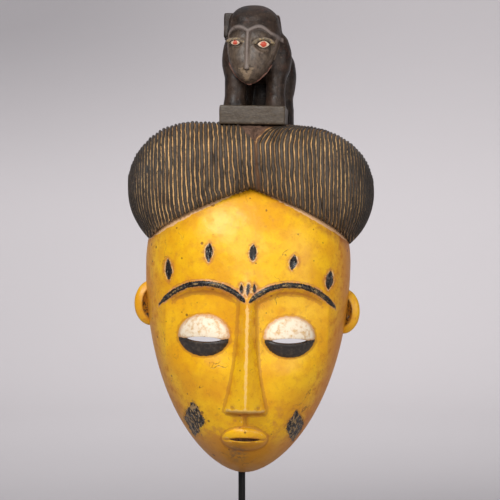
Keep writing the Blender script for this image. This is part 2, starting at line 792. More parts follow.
def hair_surface(way, share):
    """The coiffure's plain front, from side to side and from the hairline (-1) up over the top (1)."""
    wide, out = around(turn_at(way))
    low = hairline(wide * coiffure_bow(CORNER_HEIGHT))
    low_out = np.maximum(face_depth(COIFFURE_X + wide * coiffure_bow(low), low) + HAIR_STEP, HAIR_SHELF * out)
    low_out = np.minimum(low_out, out)
    high = coiffure_top(wide)
    middle = low + (high - low) * LOBE_BELLY
    angle = math.pi / 2 * (share + ROW_CROWDING * (1 - share**2))
    rising = np.clip(np.sin(angle), 0, 1) ** TOP_FULLNESS
    receding = np.clip(np.cos(angle), 0, 1) ** TOP_FULLNESS
    z = np.where(angle < 0, middle + (middle - low) * np.sin(angle), middle + (high - middle) * rising)
    depth = np.where(angle < 0, low_out + (out - low_out) * np.cos(angle), out * receding)
    return np.stack([COIFFURE_X + wide * coiffure_bow(z), BACK_PLANE - COIFFURE_BACK_GAP - depth, z], axis=-1)


print("round the front the coiffure measures", round(2000 * quarter_way[-1]), "mm")

# %% The parting's V, and the ridges that bend away beside it


def outward(grid):
    normal = np.cross(np.gradient(grid, axis=1), np.gradient(grid, axis=0))
    return normal / np.maximum(np.linalg.norm(normal, axis=-1, keepdims=True), 1e-12)


V_POINT = PARTING_HEIGHT - 2.2 * MM
V_RISE = 19.5 * MM
V_ROUND = 8.5 * MM
V_LEFT_SLOPE = 1.2
V_STEP = 1.2 * MM
V_CUT = 1.5
BEND_REACH = 34 * MM
TOP_LEAN = 3.5 * MM
UPRIGHT = 0.85


def v_right(z):
    """How far right of the parting the V's rounded edge lies at a height."""
    return -V_ROUND * np.log(1 - np.clip((z - V_POINT) / V_RISE, 0, 0.955))


def v_left(z):
    return np.maximum(z - V_POINT, 1e-5) / V_LEFT_SLOPE


def parting(x, z):
    """How deep a place lies inside the V, in metres."""
    aside = x - PARTING_X
    right_edge = V_POINT + V_RISE * (1 - np.exp(-np.maximum(aside, 0) / V_ROUND))
    left_edge = V_POINT - V_LEFT_SLOPE * np.minimum(aside, 0)
    return np.clip(z - np.maximum(right_edge, left_edge), 0, 1)


# %% Lay out the ridges
columns = RIDGES * SAMPLES
ridge_line = np.arange(columns + 1) / SAMPLES
ridge_count, share_grid = np.meshgrid(ridge_line, np.linspace(-1, 1, HAIR_ROWS + 1))
way = 2 * ridge_count / RIDGES - 1
edge_fade = (1 - way**2) ** 0.5

lean = -0.024 * (share_grid + 0.15)
waver_place = np.stack([ridge_count, np.zeros_like(ridge_count), share_grid * 9], axis=-1)
waver = 0.0042 * noise(waver_place, 2.3, 41) + 0.0026 * noise(waver_place, 0.9, 42)
straight = hair_surface(way + lean * edge_fade, share_grid)
widening = coiffure_bow(straight[..., 2]) ** -UPRIGHT
way = way * widening / (1 + (widening - 1) * way**4)
straight = hair_surface(way + lean * edge_fade, share_grid)
aside = straight[..., 0] - PARTING_X
left_of_v = np.clip(1 + aside / v_left(straight[..., 2]), 0, 1)
beside_v = np.where(aside > 0, np.exp(-aside / BEND_REACH), left_of_v)
bend = v_right(straight[..., 2]) * beside_v + TOP_LEAN * step(share_grid, 0.5, 0.9) * (aside > 0)
hair = hair_surface(way + (lean + waver + bend / quarter_way[-1]) * edge_fade, share_grid)

notch = parting(hair[..., 0] + 0.8 * MM * noise(hair, 5 * MM, 43), hair[..., 2])
middle_line = hair[:, columns // 2]
notch_front = np.interp(V_POINT, middle_line[:, 2], middle_line[:, 1])
v_floor = notch_front + V_STEP * step(notch, 0, 1 * MM) + V_CUT * notch
hair[..., 1] = np.where(notch > 0, np.maximum(hair[..., 1], v_floor), hair[..., 1])
print("the V is", round(float(notch.max()) * 1000), "mm deep from its rim to the coiffure's top")

# %% [markdown]
# Each ridge is half a circle across. Near the sides the cuts grow shallow and stop, as they do on the real
# one, and small chips break the crests.

# %% Carve the ridges
BOLD_LEFT = 0.6
across = np.abs(2 * (ridge_count - np.floor(ridge_count)) - 1)
ridge_profile = np.sqrt(np.clip(1 - across**2, 0, 1)) * 2 - 1
at_side = np.minimum(ridge_count, RIDGES - ridge_count)
side_fade = (0.45 + 0.55 * step(at_side, 0, FADING_RIDGES)) * step(at_side, 0, 1.5)
fade = side_fade * (1 - step(notch, 0, 1.5 * MM)) * step(share_grid, -1.0, -0.97)
under_block = (np.abs(hair[..., 0] - CREST_X) < BLOCK_WIDTH / 2) & (hair[..., 2] > PARTING_HEIGHT)
under_block &= hair[..., 1] > BLOCK_FRONT + 3 * BLOCK_EDGE
each_ridge = noise(waver_place * np.array([1, 1, 0.35]), 1.4, 44)
bold = 1 + BOLD_LEFT * step(share_grid, 0.1, 0.6) * step(-way, 0.1, 0.45)
hair_relief = RIDGE_DEPTH * bold * fade * ridge_profile * (1 + 0.25 * each_ridge)
hair_relief = np.where(under_block, 0, hair_relief)
chips = step(rough(hair, 6 * MM, 45), 0.55, 1.0)
fibres = rough(hair * np.array([1, 1, 0.4]), 2.6 * MM, 46)
hair_relief = hair_relief - 0.5 * MM * chips * fade + 0.6 * MM * step(notch, 0, 2 * MM) * fibres
hair_normal = outward(hair)
hair_normal[-1, :, 1] = 0
carved_hair = hair + hair_normal * hair_relief[..., None]
print("the coiffure has", RIDGES, "ridges with", SAMPLES, "points across each")

# %% [markdown]
# The carved front is closed behind by a flat back. Below, a shelf runs from the hairline in through the
# wood of the head, between the face and the hollow, up to an arch over the hollow. It is never seen, but it
# closes the mesh.

# %% Close the coiffure and mark its grooves
arch_half_width = FACE_WIDTH / 2 - WALL / 2
arch_rise = (CROWN_HEIGHT + HOLLOW_TOP) / 2 - WIDEST_HEIGHT
arch_corner = arch_half_width * math.sqrt(1 - ((CORNER_HEIGHT - WIDEST_HEIGHT) / arch_rise) ** 2)
root_row = np.empty_like(carved_hair[:1])
hair_corner = carved_hair[0, -1, 0] - COIFFURE_X
root_row[..., 0] = (carved_hair[0, :, 0] - COIFFURE_X) * arch_corner / hair_corner
root_row[..., 1] = BACK_PLANE - COIFFURE_BACK_GAP
arch_share = np.clip(root_row[..., 0] / arch_half_width, -1, 1)
root_row[..., 2] = WIDEST_HEIGHT + arch_rise * np.sqrt(1 - arch_share**2)
hair_points = np.concatenate([root_row, carved_hair])
rows_in_all, width_in_all = hair_points.shape[:2]
hair_faces = [tuple(face) for face in grid_faces(rows_in_all, width_in_all)]
last_row = (rows_in_all - 1) * width_in_all
for k in range(width_in_all - 1):
    hair_faces.append((k, last_row + k, last_row + k + 1, k + 1))
for k in (0, width_in_all - 1):
    hair_faces.append(tuple(row * width_in_all + k for row in range(rows_in_all)))
coiffure = new_piece("coiffure", mesh_from(hair_points.reshape(-1, 3), hair_faces, "coiffure"))


def with_root(values, root):
    return np.concatenate([np.full((1, width_in_all), root), values]).ravel()


mark(coiffure.data, "ridge", with_root(ridge_count, 0.0))
mark(coiffure.data, "carved", with_root(fade * np.where(under_block, 0, 1), 0.0))
mark(coiffure.data, "notch", with_root(notch / MM, 0.0))
mark(coiffure.data, "above_line", with_root((hair[..., 2] - hairline(hair[..., 0] - COIFFURE_X)) / MM, 0.0))
mark(coiffure.data, "at_side", with_root(at_side, 0.0))
outward_mesh(coiffure.data)
finish_piece(coiffure, mask_place, "mask")

# %% [markdown]
# ## The block and the animal
#
# On the parting stands a small block, and on it a four-legged animal with a long, masklike head that hangs
# in front of its legs. The animal is built from rounded masses that melt into each other, then its brows,
# eye pits, nose ridge and the groove of its mouth are added or cut. All sizes are shares of its height.

# %% Distance fields of simple masses


def ball(p, middle, half_sizes):
    """A rough distance to an ellipsoid, negative inside."""
    scaled = (p - np.array(middle)) / np.array(half_sizes)
    length = np.linalg.norm(scaled, axis=-1)
    slope = np.linalg.norm(scaled / np.array(half_sizes), axis=-1)
    return length * (length - 1) / np.maximum(slope, 1e-9)


def melt(a, b, width):
    """The union of two forms, with a rounded inner corner."""
    share = np.clip(0.5 + 0.5 * (b - a) / width, 0, 1)
    return b * (1 - share) + a * share - width * share * (1 - share)


def carve(a, b, width):
    """The first form with the second cut out of it."""
    return -melt(-a, b, width)


def box_field(p, half_sizes, edge):
    beyond = np.abs(p) - (np.array(half_sizes) - edge)
    outside = np.linalg.norm(np.maximum(beyond, 0), axis=-1)
    return outside + np.minimum(beyond.max(axis=-1), 0) - edge


def post(p, foot_x, foot_y, half_width, rings, depth_share):
    """An upright post whose width changes with its height."""
    z = p[..., 2]
    width = half_width * np.interp(z, [ring[0] for ring in rings], [ring[1] for ring in rings])
    flat = np.hypot((p[..., 0] - foot_x), (p[..., 1] - foot_y) / depth_share) - width
    return np.maximum(flat, z - rings[-1][0])


# %% The animal's body and legs
BODY_MASSES = (
    # the middle and the half sizes of each mass, in shares of the animal's height like all that follow
    ((0.010, 0.050, 0.500), (0.305, 0.310, 0.245)),
    ((-0.185, -0.145, 0.470), (0.140, 0.150, 0.270)),
    ((0.205, -0.145, 0.470), (0.150, 0.150, 0.270)),
    ((-0.190, 0.185, 0.370), (0.140, 0.165, 0.300)),
    ((0.232, 0.185, 0.340), (0.152, 0.165, 0.280)),
    ((0.030, 0.300, 0.200), (0.160, 0.070, 0.260)),
)
# each leg's foot x, foot y and half width, then how the width changes with the height
LEGS = ((-0.185, -0.165, 0.108), (0.210, -0.165, 0.098), (-0.150, 0.195, 0.100), (0.248, 0.195, 0.112))
LEG_RINGS = (
    (-0.05, 1.04), (0.02, 1.04), (0.10, 0.94), (0.25, 0.98), (0.36, 0.92), (0.46, 0.60), (0.50, 0.30))
LEG_DEPTH = 1.15


def body_field(p):
    body = ball(p, *BODY_MASSES[0])
    for mass in BODY_MASSES[1:]:
        body = melt(body, ball(p, *mass), 0.05)
    for foot_x, foot_y, half_width in LEGS:
        body = melt(body, post(p, foot_x, foot_y, half_width, LEG_RINGS, LEG_DEPTH), 0.03)
    return body


print("the body is", len(BODY_MASSES), "masses on", len(LEGS), "legs")

# %% The animal's head
HEAD_RINGS = (
    # height, middle x, middle y, half width and half depth; above the dome's foot only the middles count
    (0.200, -0.034, -0.360, 0.030, 0.030),
    (0.225, -0.034, -0.362, 0.078, 0.085),
    (0.290, -0.030, -0.345, 0.148, 0.145),
    (0.410, -0.026, -0.310, 0.208, 0.190),
    (0.555, -0.016, -0.262, 0.246, 0.232),
    (0.700, -0.003, -0.190, 0.258, 0.262),
    (0.800, -0.008, -0.145, 0.248, 0.268),
    (0.895, -0.012, -0.120, 0.222, 0.232),
    (0.955, -0.020, -0.110, 0.175, 0.165),
    (0.990, -0.018, -0.105, 0.075, 0.070),
)
FRONT_FLATNESS = 2.7
DOME_FOOT = 0.800
DOME_TOP = 1.000
# each eye's x, height, half width and half height
EYES = ((-0.168, 0.582, 0.047, 0.024), (0.106, 0.566, 0.058, 0.033))
NOSE_X = -0.048
NOSE_TOP = 0.690
NOSE_TIP = 0.318
# heights and places from front to back along the mouth's groove
LIP_LINE = ((0.200, -0.352), (0.300, -0.345), (0.450, -0.292), (0.560, -0.240), (0.680, -0.150))
LIP_END = 0.665
RIM_GAP = 0.026
LEFT_EAR = ((-0.262, -0.150, 0.790), (0.048, 0.055, 0.120), 0.014)
RIGHT_EAR = ((0.236, -0.140, 0.750), (0.020, 0.060, 0.150), 0.018)
RIGHT_EAR_LEAN = 0.16

# %% The animal's rounded skull


def smooth_rings():
    """The rings, close together and rounded, with a round dome on top."""
    rings = np.array(HEAD_RINGS)
    heights = np.linspace(rings[0, 0], DOME_TOP - 0.002, 90)
    table = np.stack([np.interp(heights, rings[:, 0], rings[:, k]) for k in range(5)], axis=-1)
    padded = np.pad(table, ((4, 4), (0, 0)), mode="edge")
    rounded = sum(padded[k:k + len(table)] for k in range(9)) / 9
    rounded[:6] = table[:6]
    rounded[:, 0] = heights
    up = np.clip((heights - DOME_FOOT) / (DOME_TOP - DOME_FOOT), 0, 1)
    foot = np.argmin(np.abs(heights - DOME_FOOT))
    for k in (3, 4):
        rounded[foot:, k] = rounded[foot, k] * (1 - up[foot:] ** 2.2) ** 0.5
    return rounded


ring_table = smooth_rings()
print("the head has", len(ring_table), "level sections")


def head_ring(z):
    return [np.interp(z, ring_table[:, 0], ring_table[:, k]) for k in (1, 2, 3, 4)]


def head_front(x, z):
    """The Y of the head's front at a place across and up it."""
    middle_x, middle_y, half_x, half_y = head_ring(z)
    share = np.clip(np.abs(x - middle_x) / half_x, 0, 0.98)
    return middle_y - half_y * (1 - share**FRONT_FLATNESS) ** (1 / FRONT_FLATNESS)


def head_loft(p):
    """Level sections that are oval behind and flatter in front."""
    x, y, z = p[..., 0], p[..., 1], np.clip(p[..., 2], ring_table[0, 0], ring_table[-1, 0])
    middle_x, middle_y, half_x, half_y = head_ring(z)
    power = np.where(y < middle_y, FRONT_FLATNESS, 2.0)
    across, along = np.abs(x - middle_x) / half_x, np.abs(y - middle_y) / half_y
    length = (across**power + along**power) ** (1 / power)
    beyond = np.maximum(p[..., 2] - ring_table[-1, 0], ring_table[0, 0] - p[..., 2])
    return np.maximum((length - 1) * np.minimum(half_x, half_y), beyond)


# %% Its brow, ears and eyes
BROW_MIDDLE = 0.690
BROW_ARCH = 0.046
BROW_SPREAD = 0.22
BROW_FALL = 0.6
FLAT_BROW = 0.10
EYE_SINK = 0.022
SOFT = 0.012
SHARP = 0.006


def brow_edge(x):
    """The m-shaped lower edge of the crown."""
    side = np.abs(x - NOSE_X)
    arch = BROW_ARCH * np.sin(np.clip(side / BROW_SPREAD, 0, 1) * math.pi)
    return BROW_MIDDLE + arch - BROW_FALL * np.maximum(side - FLAT_BROW, 0) ** 1.6


def mouth_line(z):
    heights, places = zip(*LIP_LINE)
    return np.interp(z, heights, places)


def with_ears(head, p):
    head = melt(head, box_field(p - np.array(LEFT_EAR[0]), *LEFT_EAR[1:]), SOFT)
    tilted = p - np.array(RIGHT_EAR[0])
    tilted[..., 0] -= RIGHT_EAR_LEAN * -tilted[..., 2]
    return melt(head, box_field(tilted, *RIGHT_EAR[1:]), 0.010)


def with_eyes(head, p):
    """Each eye is a pit with a bead in it and a lid arched over the bead."""
    x, y, z = p[..., 0], p[..., 1], p[..., 2]
    for eye_x, eye_z, half_width, half_height in EYES:
        middle = float(head_front(eye_x, eye_z)) + EYE_SINK
        pit = ball(p, (eye_x, middle - 0.010, eye_z + 0.004), (half_width * 1.55, 0.034, half_height * 2.4))
        head = carve(head, pit, SOFT)
        bead = ball(p, (eye_x, middle + 0.016, eye_z), (half_width * 1.05, 0.030, half_height * 1.15))
        head = melt(head, bead, 0.005)
        round_eye = np.hypot((x - eye_x) / half_width, (z - eye_z) / half_height)
        lid = np.abs(round_eye - 1.55) * half_height * 0.8 - 0.010
        lid = np.maximum(np.maximum(lid, np.abs(y - middle + 0.004) - 0.020), eye_z - z)
        head = melt(head, lid, 0.008)
    return head


# %% Its nose and mouth, and the whole head


def with_nose(head, p, front):
    """A thin ridge down the head, wider at its end, with a small wedge cut below it."""
    x, y, z = p[..., 0], p[..., 1], p[..., 2]
    widening = 0.016 + 0.028 * step(NOSE_TIP + 0.060 - z, 0, 0.05)
    nose = np.hypot((x - NOSE_X) / widening, (y - front - 0.012) / 0.030) * 0.016 - 0.016
    nose = np.maximum(nose, np.maximum(NOSE_TIP - z, z - NOSE_TOP))
    head = melt(head, nose, SOFT)
    tip = np.maximum(np.abs(x - NOSE_X) - (z - NOSE_TIP + 0.040) * 0.6, NOSE_TIP - 0.040 - z)
    tip = np.maximum(np.maximum(tip, z - NOSE_TIP), y - front - 0.012)
    return carve(head, np.maximum(tip, front - 0.03 - y), SHARP)


def with_mouth(head, p):
    """A groove round the jaw, and a raised rim behind it."""
    y, z = p[..., 1], p[..., 2]
    lip = np.maximum(np.abs(y - mouth_line(z)) - 0.011, -head - 0.026)
    head = carve(head, np.maximum(lip, z - LIP_END), SHARP)
    rim = np.maximum(np.abs(y - mouth_line(z) - RIM_GAP) - 0.010, np.abs(head) - 0.010)
    return melt(head, np.maximum(rim, z - LIP_END), 0.008)


def head_field(p):
    x, y, z = p[..., 0], p[..., 1], p[..., 2]
    front = head_front(x, z)
    middle_x, middle_y, half_x, _ = head_ring(z)
    ahead = step(middle_y - y, 0.02, 0.10) * (1 - step(np.abs(x - middle_x) / half_x, 0.78, 0.98))
    below = brow_edge(x) - z
    head = head_loft(p) + 0.022 * step(below, 0.0, 0.022) * (1 - step(below, 0.10, 0.36)) * ahead
    return with_mouth(with_nose(with_eyes(with_ears(head, p), p), p, front), p)


# %% The whole animal


def animal_field(places):
    p = places / ANIMAL_HEIGHT
    whole = melt(body_field(p), head_field(p), 0.022)
    cuts = 0.0035 * noise(p, 0.13, 51) + 0.0020 * noise(p, 0.045, 52)
    return (whole + cuts) * ANIMAL_HEIGHT


def cut_at_feet(places):
    """The feet end in the block, but the wood beyond its right edge runs on down beside it."""
    beside_block = places[..., 0] > BLOCK_WIDTH / 2 - 0.5 * MM
    low_end = np.where(beside_block, -BLOCK_HEIGHT, -ANIMAL_SINK)
    return np.maximum(animal_field(places), low_end - places[..., 2])


ANIMAL_PITCH = 0.70 * MM
low = np.array([-0.36, -0.56, -BLOCK_HEIGHT / ANIMAL_HEIGHT]) * ANIMAL_HEIGHT
high = np.array([0.40, 0.42, 1.02]) * ANIMAL_HEIGHT
animal = new_piece("crest_animal", field_mesh("crest_animal", cut_at_feet, low, high, ANIMAL_PITCH))
print("the animal is found on cells of", ANIMAL_PITCH / MM, "mm")

# %% Paint marks on the animal


def standing_out_of(mesh, field, reach=1.6):
    """Positive on ridges and edges, negative in hollows, in millimetres."""
    places, normal = points_of(mesh), normals_of(mesh)
    ridge = field(places - normal * reach * MM) / MM + reach
    hollow = reach - field(places + normal * reach * MM) / MM
    return np.maximum(ridge, 0) - np.maximum(hollow, 0)


def mark_animal(mesh):
    p = points_of(mesh) / ANIMAL_HEIGHT
    x, y, z = p.T
    mm = ANIMAL_HEIGHT / MM
    front = (y < head_front(x, z) + 0.07) & (z > 0.19)
    eye, pupil, lid = np.full((3, len(p)), float(NOWHERE))
    for eye_x, eye_z, half_width, half_height in EYES:
        flat = ((x - eye_x) / half_width) ** 2
        eye = np.maximum(eye, (half_height * (1 - flat) - np.abs(z - eye_z)) * mm)
        pupil = np.maximum(pupil, (half_height * 0.85 - np.hypot((x - eye_x) * 0.9, z - eye_z)) * mm)
        round_eye = np.hypot((x - eye_x) / half_width, (z - eye_z) / half_height)
        lid = np.maximum(lid, np.minimum((0.3 - np.abs(round_eye - 1.5)) * half_height, z - eye_z) * mm)
    mark(mesh, "eye", np.where(front, eye, NOWHERE))
    mark(mesh, "pupil", np.where(front, pupil, NOWHERE))
    mark(mesh, "lid", np.where(front, lid, NOWHERE))
    beside = (z < 0.64) & (y < -0.12) & (np.abs(x) < 0.27) & (body_field(p) > 0.012)
    mark(mesh, "lip", np.where(beside, (0.013 - np.abs(y - mouth_line(z))) * mm, NOWHERE))
    rim = (0.012 - np.abs(y - mouth_line(z) - RIM_GAP)) * mm
    mark(mesh, "lip_rim", np.where(beside, rim, NOWHERE))
    patch = (0.020 - np.abs(np.abs(x - NOSE_X) - (z - 0.235) * 0.50) * 0.9) * mm
    mark(mesh, "worn_patch", np.where(front & (z < 0.34) & (z > 0.215), patch, NOWHERE))
    nose_back = np.where((z < NOSE_TOP) & (z > NOSE_TIP), 0.018 - np.abs(x - NOSE_X), -1)
    brow = np.maximum(0.018 - np.abs(z - brow_edge(x) - 0.004), nose_back)
    mark(mesh, "brow", np.where(front, brow * mm, -5))
    on_head = front & (head_field(p) < 0.012)
    mark(mesh, "muzzle", np.where(on_head, brow_edge(x) - z, -1))
    mark(mesh, "crest", standing_out_of(mesh, animal_field))


mark_animal(animal.data)
finish_piece(animal, mask_place @ crest_place, "mask")

# %% [markdown]
# The block under the animal is a plain sawn shape with softened, dented edges. It is found from a distance
# field as well, because a bevelled box would keep its edges too straight.

# %% The block under the animal


BLOCK_ROUNDING = 1.6 * MM


def block_field(places):
    p = places + np.array([0, 0, BLOCK_HEIGHT / 2])
    plain = box_field(p, (BLOCK_WIDTH / 2, BLOCK_DEPTH / 2, BLOCK_HEIGHT / 2), BLOCK_ROUNDING)
    return plain + 0.25 * MM * (1 + noise(places, 7 * MM, 61)) + 0.12 * MM * (1 + noise(places, 2.5 * MM, 62))


half_block = np.array([BLOCK_WIDTH / 2, BLOCK_DEPTH / 2, 0])
block_foot = np.array([0, 0, BLOCK_HEIGHT])
block = new_piece("crest_block", field_mesh(
    "crest_block", block_field, -half_block - block_foot, half_block, 0.9 * MM))
mark(block.data, "crest", standing_out_of(block.data, block_field))
finish_piece(block, mask_place @ crest_place, "mask")

# %% [markdown]
# ## The ears
#
# Small D-shaped flaps stand out from the sides of the head. Each is scooped out in front and blackened
# there, with a yellow rim left standing.

# %% Two scooped ears
FLAP_SIZE = (EAR_REACH * 1.4, EAR_THICKNESS / 2, EAR_HEIGHT / 2)
SCOOP_PLACE = (EAR_REACH * 0.25, -EAR_THICKNESS * 0.62, 0)
SCOOP_SIZE = (EAR_REACH * 0.86, EAR_THICKNESS * 0.42, EAR_HEIGHT * 0.40)


def ear_field(side):
    def field(places):
        p = places * np.array([side, 1, 1])
        scoop = ball(p, SCOOP_PLACE, SCOOP_SIZE) + 0.35 * MM * noise(places, 2.2 * MM, 71)
        flap = carve(ball(p, (0, 0, 0), FLAP_SIZE), scoop, 0.6 * MM)
        return flap + 0.12 * MM * noise(places, 5 * MM, 72)
    return field


for side, height, name in ((-1, EAR_LEFT_HEIGHT, "ear_left"), (1, EAR_RIGHT_HEIGHT, "ear_right")):
    half = np.array(FLAP_SIZE)
    ear = new_piece(name, field_mesh(name, ear_field(side), -half, half, 0.55 * MM))
    p = points_of(ear.data) * np.array([side, 1, 1])
    mark(ear.data, "scoop", -ball(p, SCOOP_PLACE, SCOOP_SIZE) / MM)
    mark(ear.data, "crest", standing_out_of(ear.data, ear_field(side)))
    half_width = float(egg_section(*FACE_EGG, np.array(height))[0])
    lean_back = Matrix.Rotation(side * -EAR_LEAN, 4, "Z")
    spot = (side * (half_width - EAR_REACH * 0.35), BACK_PLANE - EAR_SET_BACK, height)
    finish_piece(ear, mask_place @ Matrix.Translation(spot) @ lean_back, "mask")


# %% [markdown]
# ## Writing shaders in words
#
# A shader is a net of nodes. Wiring each node by hand takes many lines, so a small class gives the common
# nodes short names. Every word adds one node and hands back its output, and the recipes below read almost
# like a painter's notes: this colour, then that one over it where the mask says so.

# %% A few words for shader nodes


def tone(red, green, blue):
    """The linear colour of an sRGB one from 0 to 255."""
    shares = [value / 255 for value in (red, green, blue)]
    return (*[s / 12.92 if s < 0.04045 else ((s + 0.055) / 1.055) ** 2.4 for s in shares], 1)


class Recipe:
    """Writes a node tree in words. Each word adds a node and gives back its output."""

    def __init__(self, tree):
        self.tree = tree

    def feed(self, socket, value):
        if isinstance(value, bpy.types.NodeSocket):
            self.tree.links.new(value, socket)
        else:
            socket.default_value = value

    def add(self, kind, feeds, **settings):
        node = self.tree.nodes.new(kind)
        for name, value in settings.items():
            setattr(node, name, value)
        for name, value in feeds.items():
            self.feed(node.inputs[name], value)
        return node

    def math(self, operation, a, b=0.0):
        return self.add("ShaderNodeMath", {0: a, 1: b}, operation=operation).outputs[0]

    def plus(self, a, b):
        return self.math("ADD", a, b)

    def minus(self, a, b):
        return self.math("SUBTRACT", a, b)

    def times(self, a, b, *more):
        product_so_far = self.math("MULTIPLY", a, b)
        for factor in more:
            product_so_far = self.math("MULTIPLY", product_so_far, factor)
        return product_so_far

    def most(self, a, b):
        return self.math("MAXIMUM", a, b)

    def beyond(self, mask):
        """The rest of a mask."""
        return self.math("SUBTRACT", 1.0, mask)

    def ramp(self, value, low, high, start=0.0, end=1.0):
        feeds = {"Value": value, "From Min": low, "From Max": high, "To Min": start, "To Max": end}
        return self.add("ShaderNodeMapRange", feeds, interpolation_type="SMOOTHSTEP").outputs["Result"]

    def read(self, name):
        """A number that the mesh keeps at its points."""
        return self.add("ShaderNodeAttribute", {}, attribute_name=name).outputs["Fac"]

    def place(self, axis):
        spot = self.add("ShaderNodeTexCoord", {}).outputs["Object"]
        return self.add("ShaderNodeSeparateXYZ", {0: spot}).outputs[axis]

    def paint(self, under, over, mask):
        node = self.add("ShaderNodeMix", {0: mask, 6: under, 7: over}, data_type="RGBA")
        return node.outputs[2]

    def use(self, effect, **values):
        node = self.add("ShaderNodeGroup", {}, node_tree=effect)
        for name, value in values.items():
            self.feed(node.inputs[name], value)
        return node.outputs


# %% Effects as node groups


def new_effect(name, inputs, outputs, write):
    """A node group: write(recipe, inputs) gives what goes to each output."""
    group = bpy.data.node_groups.new(name, "ShaderNodeTree")
    for title, value in inputs.items():
        socket = group.interface.new_socket(name=title, in_out="INPUT", socket_type="NodeSocketFloat")
        socket.default_value = value
    for title, kind in outputs.items():
        group.interface.new_socket(name=title, in_out="OUTPUT", socket_type="NodeSocket" + kind)
    recipe = Recipe(group)
    source = group.nodes.new("NodeGroupInput")
    drain = group.nodes.new("NodeGroupOutput")
    for title, value in write(recipe, source.outputs).items():
        recipe.feed(drain.inputs[title], value)
    print("effect:", name)
    return group


# %% [markdown]
# ## Effects that several finishes share
#
# Patina is the same few things everywhere: cloudy patches, fine specks, hair cracks, wood fibres, worn
# ridges. Each becomes a node group with its own inputs, built once, so that every finish can ask for it at
# its own scale. An image could show the same, but it would have a resolution and seams; these are made at
# every point anew.

# %% Patches, specks and cracks
MM_IN_METRE = 1000.0


def drawn_out(r, spot, stretch):
    """A place squeezed along the grain, so that what is drawn there comes out longer."""
    squeeze = r.add("ShaderNodeCombineXYZ", {0: 1.0, 1: 1.0, 2: r.math("DIVIDE", 1.0, stretch)}).outputs[0]
    return r.add("ShaderNodeVectorMath", {0: spot, 1: squeeze}, operation="MULTIPLY").outputs[0]


def write_patches(r, given):
    """Cloudy patches of a size in millimetres, drawn out along the grain by the stretch."""
    spot = drawn_out(r, r.add("ShaderNodeTexCoord", {}).outputs["Object"], given["Stretch"])
    scale = r.math("DIVIDE", MM_IN_METRE, given["Size"])
    feeds = {"Vector": spot, "W": given["Seed"], "Scale": scale, "Detail": 4.0, "Roughness": 0.6}
    noise_out = r.add("ShaderNodeTexNoise", feeds, noise_dimensions="4D").outputs["Fac"]
    return {"Mask": r.ramp(noise_out, given["Low"], given["High"])}


def write_specks(r, given):
    """Separate round specks. The share says how many of them there are."""
    spot = r.add("ShaderNodeTexCoord", {}).outputs["Object"]
    scale = r.math("DIVIDE", MM_IN_METRE, given["Size"])
    cell = r.add("ShaderNodeTexVoronoi", {"Vector": spot, "W": given["Seed"], "Scale": scale},
                 voronoi_dimensions="4D")
    chance = r.add("ShaderNodeSeparateColor", {0: cell.outputs["Color"]})
    there = r.math("LESS_THAN", chance.outputs[0], given["Share"])
    reach = r.plus(0.12, r.times(chance.outputs[1], 0.22))
    near = r.ramp(r.minus(cell.outputs["Distance"], reach), 0.08, -0.04)
    return {"Mask": r.times(near, there)}


def patchy(r, size, seed=0, low=0.4, high=0.6, stretch=1.0):
    """A mask of cloudy patches."""
    return r.use(patches, Size=size, Stretch=stretch, Seed=seed, Low=low, High=high)["Mask"]


def write_cracks(r, given):
    """Thin wandering lines between the cells of a warped net, in a few places only."""
    spot = r.add("ShaderNodeTexCoord", {}).outputs["Object"]
    scale = r.math("DIVIDE", MM_IN_METRE, given["Size"])
    warp = r.add("ShaderNodeTexNoise", {"Vector": spot, "Scale": r.times(scale, 1.7), "Detail": 3.0})
    shift = r.add("ShaderNodeVectorMath", {0: warp.outputs["Color"], "Scale": r.times(given["Size"], 0.0007)},
                  operation="SCALE").outputs[0]
    spot = r.add("ShaderNodeVectorMath", {0: spot, 1: shift}, operation="ADD").outputs[0]
    spot = drawn_out(r, spot, given["Stretch"])
    net = r.add("ShaderNodeTexVoronoi", {"Vector": spot, "Scale": scale}, feature="DISTANCE_TO_EDGE")
    line = r.ramp(net.outputs["Distance"], given["Width"], 0.0)
    somewhere = patchy(r, size=r.times(given["Size"], 1.6), seed=given["Seed"], low=0.56, high=0.62)
    return {"Mask": r.times(line, somewhere)}


# %% Fibres, worn ridges, ragged edges and tool marks


def write_fibres(r, given):
    """Bare wood: long thin streaks along the trunk, from dark (0) to light (1)."""
    thin = patchy(r, size=given["Size"], stretch=16.0, seed=given["Seed"], low=0.3, high=0.7)
    wide = patchy(r, size=r.times(given["Size"], 4.0), stretch=9.0, seed=3, low=0.35, high=0.65)
    return {"Streak": r.plus(r.times(thin, 0.6), r.times(wide, 0.4))}


def write_worn(r, given):
    """Where handling has rubbed the ridges. The crest says how far a place stands out, in millimetres."""
    loose = patchy(r, size=given["Size"], seed=given["Seed"], low=0.3, high=0.7)
    rubbed = r.plus(given["Crest"], r.times(r.minus(loose, 0.5), given["Unevenness"]))
    return {"Mask": r.ramp(rubbed, given["Onset"], r.plus(given["Onset"], 0.22))}


def write_ragged(r, given):
    """A painted mark from its signed distance in millimetres, with a ragged edge."""
    fringe = patchy(r, size=given["Size"], seed=given["Seed"], low=0.25, high=0.75)
    moved = r.plus(given["Distance"], r.times(r.minus(fringe, 0.5), given["Fringe"]))
    return {"Mask": r.ramp(moved, -0.16, 0.16)}


def write_handwork(r, given):
    """The height of tool marks and small dents, in millimetres."""
    broad = patchy(r, size=given["Size"], seed=5, low=0.2, high=0.8)
    fine = patchy(r, size=r.times(given["Size"], 0.22), seed=6, low=0.2, high=0.8)
    return {"Height": r.times(r.plus(broad, r.times(fine, 0.35)), given["Depth"])}


